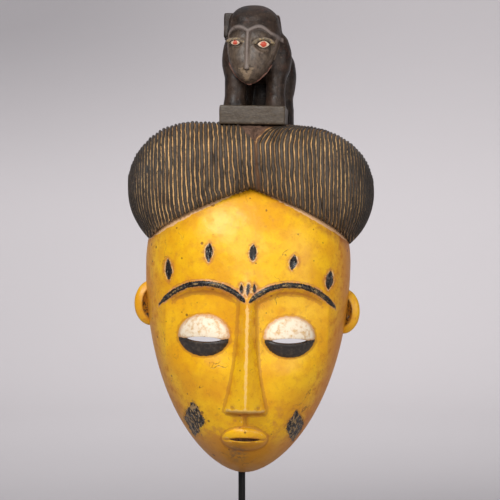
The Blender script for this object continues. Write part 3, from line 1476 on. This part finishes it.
# %% Build the effects
PATCH_INPUTS = {"Size": 10.0, "Stretch": 1.0, "Seed": 0.0, "Low": 0.4, "High": 0.6}
patches = new_effect("cloudy patches", PATCH_INPUTS, {"Mask": "Float"}, write_patches)
specks = new_effect("fine specks", {"Size": 3.0, "Share": 0.2, "Seed": 0.0}, {"Mask": "Float"}, write_specks)
cracks = new_effect("hair cracks", {"Size": 20.0, "Width": 0.02, "Stretch": 2.0, "Seed": 0.0},
                    {"Mask": "Float"}, write_cracks)
fibres = new_effect("wood fibres", {"Size": 0.9, "Seed": 0.0}, {"Streak": "Float"}, write_fibres)
worn = new_effect("worn ridges", {"Crest": 0.0, "Onset": 0.3, "Unevenness": 0.5, "Size": 4.0, "Seed": 0.0},
                  {"Mask": "Float"}, write_worn)
ragged_mark = new_effect("ragged mark", {"Distance": 0.0, "Fringe": 0.8, "Size": 1.6, "Seed": 0.0},
                         {"Mask": "Float"}, write_ragged)
handwork = new_effect("tool marks", {"Size": 7.0, "Depth": 0.1}, {"Height": "Float"}, write_handwork)


def wear(r, crest, onset, unevenness, size, seed):
    """A mask of what handling has rubbed."""
    return r.use(worn, Crest=crest, Onset=onset, Unevenness=unevenness, Size=size, Seed=seed)["Mask"]


def edged(r, distance, fringe, size, seed):
    """A mask of a painted mark with its ragged edge."""
    return r.use(ragged_mark, Distance=distance, Fringe=fringe, Size=size, Seed=seed)["Mask"]


# %% [markdown]
# ## Pigments
#
# Three pigments turn up on more than one piece: the yellow ochre of the skin, the black of the cuts, and
# the bare brown wood. Each is a group that gives a colour, a roughness and a height. The materials keep
# their own Principled shader, which takes what the groups give.

# %% Yellow ochre, black and bare wood


def write_ochre(r, given):
    """Yellow ochre with an orange-brown bloom towards the edges, freckled and stained."""
    base = r.paint(tone(234, 166, 16), tone(250, 194, 20), patchy(r, size=34.0, seed=1, low=0.38, high=0.6))
    cloud = patchy(r, size=7.0, seed=2, low=0.45, high=0.72)
    base = r.paint(base, tone(216, 140, 22), r.times(cloud, 0.42))
    freckle = patchy(r, size=1.8, seed=3, low=0.52, high=0.74)
    near_edge = r.plus(given["Edge"], r.times(r.minus(cloud, 0.5), 0.35))
    base = r.paint(base, tone(196, 112, 28), r.times(freckle, r.ramp(near_edge, -0.1, 0.9, 0.25, 0.85)))
    base = r.paint(base, tone(204, 122, 26), r.times(r.ramp(near_edge, 0.45, 1.15), 0.85))
    handled = r.plus(given["Under"], r.times(r.minus(cloud, 0.5), 0.4))
    base = r.paint(base, tone(214, 144, 52), r.times(r.ramp(handled, 0.15, 0.7), 0.8))
    speck = r.use(specks, Size=4.6, Share=0.10, Seed=1.0)["Mask"]
    base = r.paint(base, tone(112, 62, 22), r.times(speck, 0.75))
    crack = r.use(cracks, Size=24.0, Width=0.011, Stretch=2.2, Seed=4.0)["Mask"]
    base = r.paint(base, tone(110, 60, 24), r.times(crack, 0.7))
    rough = r.plus(0.34, r.times(r.plus(cloud, r.ramp(near_edge, 0.2, 1.0)), 0.12))
    height = r.minus(r.times(cloud, 0.03), r.plus(r.times(crack, 0.12), r.times(speck, 0.05)))
    return {"Color": base, "Roughness": rough, "Height": height}


def write_black(r, given):
    """Black pigment, glossy where it lies thick, with pale scratches where the knife or wear broke it."""
    cloud = patchy(r, size=3.0, seed=7, low=0.4, high=0.65)
    base = r.paint(tone(20, 18, 17), tone(52, 45, 40), cloud)
    scratch = patchy(r, size=1.6, stretch=2.6, seed=8, low=0.56, high=0.66)
    base = r.paint(base, tone(190, 178, 160), r.times(scratch, given["Glints"]))
    return {"Color": base, "Roughness": r.ramp(cloud, 0.0, 1.0, 0.26, 0.55), "Height": r.times(scratch, 0.12)}


def write_bare(r, given):
    streak = r.use(fibres, Size=0.8, Seed=given["Seed"])["Streak"]
    base = r.paint(tone(84, 60, 42), tone(152, 116, 84), streak)
    stain = patchy(r, size=26.0, stretch=2.0, seed=9, low=0.4, high=0.7)
    base = r.paint(base, tone(66, 48, 36), r.times(stain, 0.65))
    return {"Color": base, "Roughness": r.ramp(streak, 0.0, 1.0, 0.7, 0.86), "Height": r.times(streak, 0.16)}


# %% Build the pigments
COLOUR_OUT = {"Color": "Color", "Roughness": "Float", "Height": "Float"}
ochre = new_effect("yellow ochre", {"Edge": 0.0, "Under": 0.0}, COLOUR_OUT, write_ochre)
black = new_effect("black pigment", {"Glints": 0.5}, COLOUR_OUT, write_black)
bare_wood = new_effect("bare wood", {"Seed": 0.0}, COLOUR_OUT, write_bare)

# %% A finish from a recipe


def new_finish(name, write, shine=0.5):
    """A material from a recipe that gives a colour, a roughness and a height in millimetres."""
    material = bpy.data.materials.new(name)
    material.use_nodes = True
    recipe = Recipe(material.node_tree)
    shader = material.node_tree.nodes["Principled BSDF"]
    colour, roughness, height = write(recipe)
    recipe.feed(shader.inputs["Base Color"], colour)
    recipe.feed(shader.inputs["Roughness"], roughness)
    shader.inputs["Specular IOR Level"].default_value = shine
    relief = recipe.add("ShaderNodeBump", {"Height": height, "Distance": MM, "Strength": 1.0})
    recipe.feed(shader.inputs["Normal"], relief.outputs["Normal"])
    print("finish:", name)
    return material


def coat_with(pieces, material):
    for piece in pieces:
        piece.data.materials.clear()
        piece.data.materials.append(material)


# %% [markdown]
# ## The painted face
#
# Yellow ochre lies over the whole face. Cream covers the upper lids, black the lower ones, the brow cords
# and the cuts. Each mark is laid over the last by its own mask, and every edge is ragged, as a brush leaves
# it. Where the relief stands out, the paint has rubbed thin and pinkish, and in the hollows it has kept its
# brown dirt.

# %% Laying one paint over another


def layer(r, under, over, mask):
    """Lays one set of colour, roughness and height over another."""
    colour = r.paint(under[0], over[0], mask)
    rest = r.beyond(mask)
    roughness, height = [r.plus(r.times(under[k], rest), r.times(over[k], mask)) for k in (1, 2)]
    return colour, roughness, height


def tint(r, under, colour, mask):
    """Changes the colour alone."""
    return r.paint(under[0], colour, mask), *under[1:]


def given_by(outputs):
    return outputs["Color"], outputs["Roughness"], outputs["Height"]


# %% The skin
RIGHT_SIDE = (-0.02, 0.09)
JAW_SHADE = (0.156, 0.122)
CHEEK_STAIN_X = (0.022, 0.040)
CHEEK_STAIN_Z = (0.186, 0.160)
SMUDGE_X = -0.011
SMUDGE_Z = 0.133
SMUDGE_REACH = 0.013


def distance_to(r, x, z):
    """How far a place lies from an upright line through the wood, in metres."""
    across, up = r.minus(r.place("X"), x), r.minus(r.place("Z"), z)
    return r.math("SQRT", r.plus(r.times(across, across), r.times(up, up)))


def worn_skin(r):
    """Ochre, dirty in the hollows and under the hair, and rubbed thin where it stands out."""
    crest, aside = r.read("crest"), r.read("aside")
    right = r.ramp(r.place("X"), *RIGHT_SIDE)
    edge = r.plus(r.ramp(aside, 0.05, 0.75), r.times(right, 0.18))
    jaw = r.ramp(r.place("Z"), *JAW_SHADE)
    under = r.plus(r.times(r.ramp(r.read("under"), 0.1, 0.7), 0.6), r.times(jaw, 0.42))
    skin = given_by(r.use(ochre, Edge=edge, Under=under))

    hollow = wear(r, r.times(crest, -1.0), onset=0.10, unevenness=0.4, size=5.0, seed=2)
    skin = tint(r, skin, tone(168, 98, 40), r.times(hollow, 0.45))
    ridge = wear(r, crest, onset=0.60, unevenness=0.9, size=3.0, seed=3)
    skin = layer(r, skin, (tone(246, 204, 128), 0.46, 0.0), r.times(ridge, 0.6))
    below_hair = r.read("below_hair")
    dirt = patchy(r, size=5.0, seed=23, low=0.35, high=0.62)
    bloom = r.times(r.ramp(below_hair, 10.0, 1.0), r.plus(0.35, r.times(dirt, 0.65)))
    skin = tint(r, skin, tone(172, 100, 44), r.times(bloom, r.ramp(right, 0, 1, 0.30, 0.85)))
    cheek = r.times(r.ramp(r.place("X"), *CHEEK_STAIN_X), r.ramp(r.place("Z"), *CHEEK_STAIN_Z), dirt)
    skin = tint(r, skin, tone(196, 110, 36), r.times(cheek, 0.55))
    rim = edged(r, r.minus(0.1, below_hair), fringe=1.7, size=5.0, seed=1)
    skin = layer(r, skin, (tone(232, 186, 142), 0.55, 0.05), r.times(rim, 0.85))

    smudge = distance_to(r, SMUDGE_X, SMUDGE_Z)
    grey = r.times(r.ramp(smudge, SMUDGE_REACH, 0.001), patchy(r, size=4.0, seed=11, low=0.35, high=0.6))
    return layer(r, skin, (tone(118, 98, 84), 0.6, 0.0), r.times(grey, 0.75))


# %% Cuts and cheek marks


def with_cuts(r, skin):
    """Lens marks and strokes, black inside a border that is rubbed brown and bared in places."""
    lens_cut = r.read("lens_cut")
    rubbed = r.times(r.ramp(lens_cut, -5.0, -0.8), patchy(r, size=3.2, seed=12, low=0.34, high=0.56))
    skin = layer(r, skin, (tone(184, 106, 56), 0.5, 0.0), r.times(rubbed, 0.75))
    bared = r.times(r.ramp(lens_cut, -1.5, -0.7), patchy(r, size=2.6, seed=24, low=0.42, high=0.55))
    skin = layer(r, skin, (tone(238, 204, 152), 0.55, 0.0), r.times(bared, 0.8))
    line = r.times(r.ramp(lens_cut, -0.8, -0.3), patchy(r, size=2.2, seed=13, low=0.4, high=0.5))
    skin = tint(r, skin, tone(140, 84, 36), r.times(line, 0.8))
    cut_black = edged(r, lens_cut, fringe=0.5, size=1.2, seed=4)
    return layer(r, skin, given_by(r.use(black, Glints=0.9)), cut_black)


def with_lozenges(r, skin):
    """Rough black cheek marks with brown splinters, in a bruised border."""
    lozenge = r.read("lozenge")
    bruise = r.times(r.ramp(lozenge, -3.2, -0.2), patchy(r, size=2.6, seed=14, low=0.42, high=0.58))
    skin = layer(r, skin, (tone(150, 96, 44), 0.6, -0.05), r.times(bruise, 0.7))
    rough_black = given_by(r.use(black, Glints=0.55))
    chisel = patchy(r, size=2.3, stretch=2.4, seed=15, low=0.50, high=0.60)
    scar = layer(r, rough_black, (tone(192, 156, 104), 0.6, -0.2), r.times(chisel, 0.8))
    scar_mask = edged(r, lozenge, fringe=1.8, size=1.6, seed=5)
    return layer(r, skin, scar, scar_mask)


# %% Brow cords and lids


def with_cords(r, skin):
    """Black brow cords, worn to the wood on their backs and along the knife's nicks."""
    cord = r.read("cord")
    above = r.times(r.ramp(cord, -1.8, -0.3), patchy(r, size=5.0, seed=16, low=0.4, high=0.6))
    skin = tint(r, skin, tone(214, 150, 112), r.times(above, 0.65))
    cord_mask = edged(r, cord, fringe=0.7, size=1.4, seed=6)
    shine = r.times(r.ramp(cord, 1.5, 2.1), patchy(r, size=4.4, seed=17, low=0.52, high=0.60))
    nick = r.times(r.read("nick"), patchy(r, size=9.0, seed=18, low=0.45, high=0.55))
    bared = r.most(r.times(shine, 0.6), r.times(nick, 0.7))
    brow = layer(r, given_by(r.use(black, Glints=0.35)), (tone(200, 164, 106), 0.5, -0.1), bared)
    return layer(r, skin, brow, cord_mask)


def with_lids(r, skin):
    """Cream on the upper lids, black on the lower ones."""
    yellowed = patchy(r, size=4.0, seed=19, low=0.44, high=0.68)
    cream = r.paint(tone(250, 234, 206), tone(222, 184, 132), yellowed)
    speck = r.use(specks, Size=2.6, Share=0.14, Seed=3.0)["Mask"]
    cream = r.paint(cream, tone(170, 116, 72), r.times(speck, 0.6))
    upper = r.read("upper_lid")
    lid_rim = r.ramp(upper, 2.6, 0.2)
    cream = r.paint(cream, tone(196, 138, 80), r.times(lid_rim, 0.7))
    lid_mask = edged(r, upper, fringe=0.9, size=2.4, seed=7)
    skin = layer(r, skin, (cream, 0.5, 0.04), lid_mask)
    lower_mask = edged(r, r.read("lower_lid"), fringe=0.7, size=2.4, seed=8)
    lash = r.paint(tone(50, 44, 40), tone(78, 68, 58), patchy(r, size=3.0, seed=20, low=0.45, high=0.7))
    return layer(r, skin, (lash, 0.4, 0.03), lower_mask)


# %% The back, and the whole face


def with_back(r, skin):
    """Bare wood in the hollow, brown stain on the flat rim round it."""
    inside = r.math("GREATER_THAN", r.read("inside"), 0.5)
    wood = given_by(r.use(bare_wood, Seed=1.0))
    skin = layer(r, skin, wood, inside)
    back_edge = r.times(r.ramp(r.plus(r.read("rim"), r.times(patchy(r, size=6.0, seed=21), 0.3)), 0.75, 1.05),
                        r.beyond(inside))
    return layer(r, skin, (tone(78, 54, 38), 0.6, 0.0), r.times(back_edge, 0.8))


def write_face(r):
    skin = worn_skin(r)
    for add in (with_cuts, with_lozenges, with_cords, with_lids, with_back):
        skin = add(r, skin)
    return skin[0], skin[1], r.plus(skin[2], r.use(handwork, Size=8.0, Depth=0.10)["Height"])


coat_with([face], new_finish("painted skin", write_face, shine=0.4))

# %% The ears' finish


def write_ear(r):
    crest = r.read("crest")
    skin = given_by(r.use(ochre, Edge=0.55, Under=0.0))
    ridge = wear(r, crest, onset=0.30, unevenness=0.6, size=3.0, seed=5)
    skin = layer(r, skin, (tone(216, 164, 108), 0.5, 0.0), r.times(ridge, 0.55))
    scoop = r.read("scoop")
    shade = r.ramp(scoop, -1.6, 0.2)
    skin = tint(r, skin, tone(128, 78, 34), r.times(shade, 0.75))
    black_mask = edged(r, r.minus(scoop, 0.1), fringe=0.9, size=1.6, seed=9)
    nicked = layer(r, given_by(r.use(black, Glints=0.7)), (tone(140, 104, 66), 0.6, -0.15),
                   r.times(patchy(r, size=2.0, stretch=2.0, seed=22, low=0.52, high=0.66), 0.6))
    skin = layer(r, skin, nicked, black_mask)
    return skin[0], skin[1], r.plus(skin[2], r.use(handwork, Size=6.0, Depth=0.10)["Height"])


ears = [bpy.data.objects[name] for name in ("ear_left", "ear_right")]
coat_with(ears, new_finish("painted ears", write_ear))

# %% [markdown]
# ## The coiffure's finish
#
# The ridges were stained grey-black, but the knife's last cut between them went through to pale wood. Dirt
# and wear have since broken these bright lines. The mesh keeps the number of the ridge at each point, so a
# groove lies wherever that number is whole. The line is drawn there at any resolution, exactly in the
# bottom of the carved groove. The uncut V of the parting is rough reddish wood.

# %% The stained ridges
PARTING_RIDGE = round(RIDGES / 2 * (1 + (PARTING_X - COIFFURE_X) / quarter_way[-1]))
FAR_OUT = (0.070, 0.108)
SHORT_CUTS_FROM = (0.062, 0.072)
SHORT_CUTS_A_METRE = MM_IN_METRE / 3.1


def write_ridges(r):
    carved, notch_depth, side = r.read("carved"), r.read("notch"), r.read("at_side")
    wobble = r.times(r.minus(patchy(r, size=2.4, stretch=2.0, seed=31, low=0.2, high=0.8), 0.5), 0.10)
    ridge = r.plus(r.read("ridge"), wobble)
    from_groove = r.math("PINGPONG", ridge, 0.5)
    far_out = r.ramp(r.math("ABSOLUTE", r.place("X")), *FAR_OUT)
    crest_tone = r.times(patchy(r, size=9.0, stretch=3.0, seed=32, low=0.35, high=0.65), r.beyond(far_out))
    stain = r.paint(tone(54, 46, 38), tone(84, 73, 61), crest_tone)
    speckle = patchy(r, size=1.1, stretch=2.2, seed=33, low=0.5, high=0.72)
    stain = r.paint(stain, tone(132, 112, 90), r.times(speckle, 0.32))
    pit = patchy(r, size=1.3, stretch=1.6, seed=38, low=0.54, high=0.70)
    stain = r.paint(stain, tone(28, 23, 19), r.times(pit, 0.55))
    valley = r.ramp(from_groove, 0.36, 0.16)
    stain = r.paint(stain, tone(24, 19, 15), r.times(valley, carved, 0.9))

    line = r.ramp(from_groove, 0.175, 0.095)
    broken = patchy(r, size=4.5, stretch=4.5, seed=34, low=0.33, high=0.47)
    crumb = patchy(r, size=1.3, stretch=2.2, seed=35, low=0.30, high=0.48)
    above_line = r.read("above_line")
    corner = r.times(far_out, r.ramp(above_line, 30.0, 8.0))
    inner = r.times(r.ramp(side, 2.0, 13.0), r.beyond(r.times(far_out, 0.5)), r.beyond(r.times(corner, 0.9)))
    line_mask = r.times(line, broken, crumb, r.times(r.ramp(carved, 0.25, 0.7), inner))
    bright = r.paint(tone(184, 146, 102), tone(244, 200, 138), patchy(r, size=10.0, stretch=2.0, seed=36))
    finish = layer(r, (stain, 0.5, 0.0), (bright, 0.8, -0.05), r.times(line_mask, 0.92))

    dark_edge = r.times(r.ramp(above_line, 2.6, 0.4), 0.8)
    finish = tint(r, finish, tone(38, 31, 26), dark_edge)
    short_cut = r.math("PINGPONG", r.plus(r.times(r.place("X"), SHORT_CUTS_A_METRE), wobble), 0.5)
    short_mask = r.times(
        r.ramp(short_cut, 0.14, 0.07), r.ramp(above_line, 11.0, 5.0), r.ramp(above_line, 1.0, 2.2))
    outer = r.ramp(r.math("ABSOLUTE", r.place("X")), *SHORT_CUTS_FROM)
    finish = layer(r, finish, (tone(176, 146, 108), 0.75, 0.0), r.times(short_mask, outer, broken, 0.8))

    fibre = r.use(fibres, Size=0.7, Seed=5.0)["Streak"]
    raw = r.paint(tone(70, 50, 40), tone(146, 112, 90), fibre)
    raw = r.paint(raw, tone(60, 42, 34), r.times(patchy(r, size=5.0, seed=37, low=0.45, high=0.65), 0.6))
    v_mask = edged(r, r.minus(notch_depth, 0.3), fringe=0.8, size=2.0, seed=10)
    finish = layer(r, finish, (raw, 0.85, r.times(fibre, 0.5)), v_mask)
    seam = r.ramp(r.math("ABSOLUTE", r.minus(r.read("ridge"), PARTING_RIDGE)), 0.50, 0.15)
    finish = layer(r, finish, (tone(112, 78, 54), 0.8, 0.0), r.times(seam, 0.8))
    v_lip = r.times(
        r.ramp(notch_depth, 0.02, 0.2), r.ramp(notch_depth, 1.3, 0.5), r.ramp(r.place("X"), 0.002, 0.006))
    finish = tint(r, finish, tone(206, 156, 96), r.times(v_lip, 0.85))
    grit = r.times(r.minus(speckle, pit), 0.10)
    height = r.plus(r.plus(finish[2], grit), r.use(handwork, Size=3.0, Depth=0.22)["Height"])
    return finish[0], finish[1], height


coat_with([coiffure], new_finish("stained ridges", write_ridges, shine=0.35))

# %% [markdown]
# ## The animal and its block
#
# The crest is the darkest part: a satin brown-black stain that hands have rubbed to a greyish gleam on
# every ridge. Its eyes are white with a red middle, and a thin red line follows the mouth.

# %% The dark stain


def write_stain(r, given):
    """Brown-black stain, greyer where it is rubbed, nearly black in the hollows."""
    cloud = patchy(r, size=11.0, seed=41, low=0.35, high=0.65)
    base = r.paint(tone(27, 19, 14), tone(57, 43, 33), r.times(cloud, given["Paleness"]))
    reddish = patchy(r, size=8.0, seed=42, low=0.54, high=0.70)
    base = r.paint(base, tone(70, 42, 30), r.times(reddish, 0.55))
    ridge = wear(r, given["Crest"], onset=0.16, unevenness=0.35, size=3.0, seed=6)
    base = r.paint(base, tone(128, 110, 98), r.times(ridge, 0.55))
    hollow = wear(r, r.times(given["Crest"], -1.0), onset=0.18, unevenness=0.3, size=3.0, seed=7)
    base = r.paint(base, tone(26, 20, 17), r.times(hollow, 0.75))
    grit = patchy(r, size=1.0, stretch=1.8, seed=43, low=0.55, high=0.75)
    base = r.paint(base, tone(136, 116, 96), r.times(grit, 0.40))
    return {"Color": base, "Roughness": r.ramp(r.plus(cloud, hollow), 0.0, 1.6, 0.36, 0.56),
            "Height": r.plus(r.times(grit, 0.05), r.use(handwork, Size=5.0, Depth=0.16)["Height"])}


stain = new_effect("dark stain", {"Crest": 0.0, "Paleness": 1.0}, COLOUR_OUT, write_stain)

# %% The animal's finish


def write_animal(r):
    finish = given_by(r.use(stain, Crest=r.read("crest"), Paleness=1.0))
    rubbed = patchy(r, size=2.2, stretch=1.6, seed=47, low=0.36, high=0.62)
    muzzle = r.times(r.ramp(r.read("muzzle"), 0.0, 0.10), r.plus(0.35, r.times(rubbed, 0.65)))
    finish = tint(r, finish, tone(112, 96, 80), r.times(muzzle, 0.62))
    brow_mask = r.times(r.ramp(r.read("brow"), -1.2, 1.0), patchy(r, size=4.0, seed=44, low=0.22, high=0.42))
    finish = tint(r, finish, tone(158, 144, 136), r.times(brow_mask, 0.45))
    patch = edged(r, r.read("worn_patch"), fringe=3.4, size=1.5, seed=11)
    finish = layer(r, finish, (tone(148, 126, 100), 0.6, -0.05), r.times(patch, 0.6))
    lid = edged(r, r.read("lid"), fringe=1.2, size=1.6, seed=12)
    olive = r.paint(tone(70, 66, 40), tone(176, 148, 92), patchy(r, size=1.8, seed=45, low=0.45, high=0.6))
    finish = layer(r, finish, (olive, 0.5, 0.0), r.times(lid, 0.5))
    white = edged(r, r.read("eye"), fringe=0.5, size=1.2, seed=13)
    finish = layer(r, finish, (tone(218, 194, 168), 0.4, 0.03), white)
    red = edged(r, r.read("pupil"), fringe=1.3, size=1.2, seed=14)
    finish = layer(r, finish, (tone(184, 68, 44), 0.4, 0.03), red)
    lip = edged(r, r.read("lip"), fringe=0.8, size=2.4, seed=15)
    finish = layer(r, finish, (tone(112, 42, 30), 0.5, 0.0), r.times(lip, 0.85))
    outer_lip = edged(r, r.read("lip_rim"), fringe=0.8, size=2.4, seed=16)
    return layer(r, finish, (tone(164, 118, 100), 0.45, 0.0), r.times(outer_lip, 0.75))


coat_with([animal], new_finish("stained animal", write_animal, shine=0.3))

# %% The block's finish
BLOCK_FACE_X = (0.036, 0.031)


def write_block(r):
    crest = r.read("crest")
    finish = given_by(r.use(stain, Crest=crest, Paleness=1.0))
    streak = patchy(r, size=3.0, stretch=0.25, seed=46, low=0.45, high=0.65)
    front = r.ramp(r.place("X"), *BLOCK_FACE_X)
    grey = r.paint(tone(76, 65, 53), tone(95, 83, 68), streak)
    finish = tint(r, finish, grey, r.times(front, 0.85))
    ridge = wear(r, crest, onset=0.22, unevenness=0.5, size=3.0, seed=8)
    return layer(r, finish, (tone(138, 120, 96), 0.6, 0.0), r.times(ridge, 0.45))


coat_with([block], new_finish("rubbed block", write_block, shine=0.3))

# %% [markdown]
# ## The steel stand
#
# The rod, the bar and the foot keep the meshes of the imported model, because a plain turned rod needs no
# more. Their finish is a thin satin black coat with faint brushing and a little wear.

# %% Black steel


def write_steel(r):
    brushing = patchy(r, size=0.5, stretch=30.0, seed=51, low=0.3, high=0.7)
    cloud = patchy(r, size=18.0, seed=52)
    speck = r.use(specks, Size=5.0, Share=0.06, Seed=5.0)["Mask"]
    base = r.paint(tone(9, 8, 7), tone(17, 15, 13), r.plus(r.times(brushing, 0.5), r.times(cloud, 0.5)))
    base = r.paint(base, tone(60, 56, 52), r.times(speck, 0.6))
    return base, r.ramp(r.plus(brushing, cloud), 0.0, 2.0, 0.42, 0.58), r.times(brushing, 0.015)


steel = new_finish("satin black steel", write_steel, shine=0.3)
coat_with([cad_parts[name] for name in ("stand_rod", "stand_bar", "stand_base")], steel)

# %% [markdown]
# ## A round studio
#
# A photograph of an object on a stand needs a seamless ground. A flat sweep would hide the object from a
# camera behind it, so the ground is turned round into a wide bowl: a floor that curves up into a wall on
# every side. The paper's own tone is graded, paler behind the mask and darker towards the floor and the
# top. Large soft lights stand in the bowl: three for the mask and one that shines on the wall behind it.
# They stay unseen themselves.

# %% The round ground
GROUND_RADIUS = 3.1
GROUND_CURVE = 1.3
GROUND_TOP = 3.4
GROUND_TURNS = 96
CURVE_STEPS = 16

ground_line = [(0.0, 0.0), (GROUND_RADIUS - GROUND_CURVE, 0.0)]
for k in range(1, CURVE_STEPS + 1):
    angle = math.pi / 2 * k / CURVE_STEPS
    out = GROUND_RADIUS - GROUND_CURVE * (1 - math.sin(angle))
    ground_line.append((out, GROUND_CURVE * (1 - math.cos(angle))))
ground_line.append((GROUND_RADIUS, GROUND_TOP))
ground_points = np.array([
    (out * math.sin(2 * math.pi * k / GROUND_TURNS), out * math.cos(2 * math.pi * k / GROUND_TURNS), z)
    for out, z in ground_line for k in range(GROUND_TURNS + 1)])
ground = new_piece("ground", outward_mesh(mesh_from(
    ground_points, grid_faces(len(ground_line), GROUND_TURNS + 1), "ground")))
ground.data.shade_smooth()


PALE_PAPER = tone(206, 201, 202)
DARK_PAPER = tone(159, 155, 157)


def write_paper(r):
    """Graded paper: palest behind the mask, darker on the floor and at the top, most of all at the left."""
    cloud = patchy(r, size=600.0, seed=61, low=0.3, high=0.7)
    on_floor = r.ramp(r.place("Y"), 1.0, 2.5, 0.55, 0.0)
    at_left = r.times(r.ramp(r.place("X"), 0.2, -0.8), r.ramp(r.place("Y"), 1.2, 2.4), 0.16)
    high_up = r.times(r.ramp(r.place("Z"), 0.35, 1.0), r.ramp(r.place("X"), 0.8, -0.8, 0.42, 0.92))
    shade = r.plus(r.plus(on_floor, at_left), r.plus(high_up, r.times(cloud, 0.02)))
    return r.paint(PALE_PAPER, DARK_PAPER, shade), r.ramp(cloud, 0.0, 1.0, 0.88, 0.92), 0.0


coat_with([ground], new_finish("pale paper", write_paper))

# %% Lights


def area_light(name, place, aim, size, power):
    data = bpy.data.lights.new(name, "AREA")
    data.shape = "SQUARE"
    data.size = size
    data.energy = power
    light = bpy.data.objects.new(name, data)
    bpy.context.scene.collection.objects.link(light)
    light.location = place
    light.rotation_euler = (Vector(aim) - Vector(place)).to_track_quat("-Z", "Y").to_euler()
    light.visible_camera = False


FACE_MIDDLE = (0, 0, 0.30)
WALL_MIDDLE = (0.0, 3.1, 0.6)
area_light("key", (-0.50, -1.15, 1.20), FACE_MIDDLE, size=0.7, power=16.5)
area_light("fill", (1.10, -1.05, 0.55), FACE_MIDDLE, size=0.9, power=6)
area_light("front", (0.05, -1.75, 0.65), FACE_MIDDLE, size=0.6, power=5.5)
area_light("wall glow", (0.0, 0.9, 1.7), WALL_MIDDLE, size=1.2, power=34)

SKY_COLOUR = (0.92, 0.93, 1.0, 1)
SKY_STRENGTH = 0.55
world = bpy.data.worlds.new("studio")
bpy.context.scene.world = world
world.use_nodes = True
sky = world.node_tree.nodes["Background"]
sky.inputs["Color"].default_value = SKY_COLOUR
sky.inputs["Strength"].default_value = SKY_STRENGTH
bpy.context.scene.view_settings.view_transform = "Standard"
print("lights and ground are set")

# %% [markdown]
# ## The camera
#
# The photograph looks straight at the mask from its own height. A long lens from a metre and a half shows
# hardly any perspective.

# %% Set the camera
CAMERA_DISTANCE = 1.5
VIEW_SPAN = 0.444
SENSOR = 36
VIEW_ABOVE_CHIN = 0.2025
camera_data = bpy.data.cameras.new("camera")
camera_data.sensor_width = SENSOR
camera_data.lens = SENSOR * CAMERA_DISTANCE / VIEW_SPAN
camera = bpy.data.objects.new("camera", camera_data)
bpy.context.scene.collection.objects.link(camera)
camera.location = (0, -CAMERA_DISTANCE, CHIN_ABOVE_FLOOR + VIEW_ABOVE_CHIN)
camera.rotation_euler = (math.pi / 2, 0, 0)
bpy.context.scene.camera = camera
print("the lens is", round(camera_data.lens), "mm long")
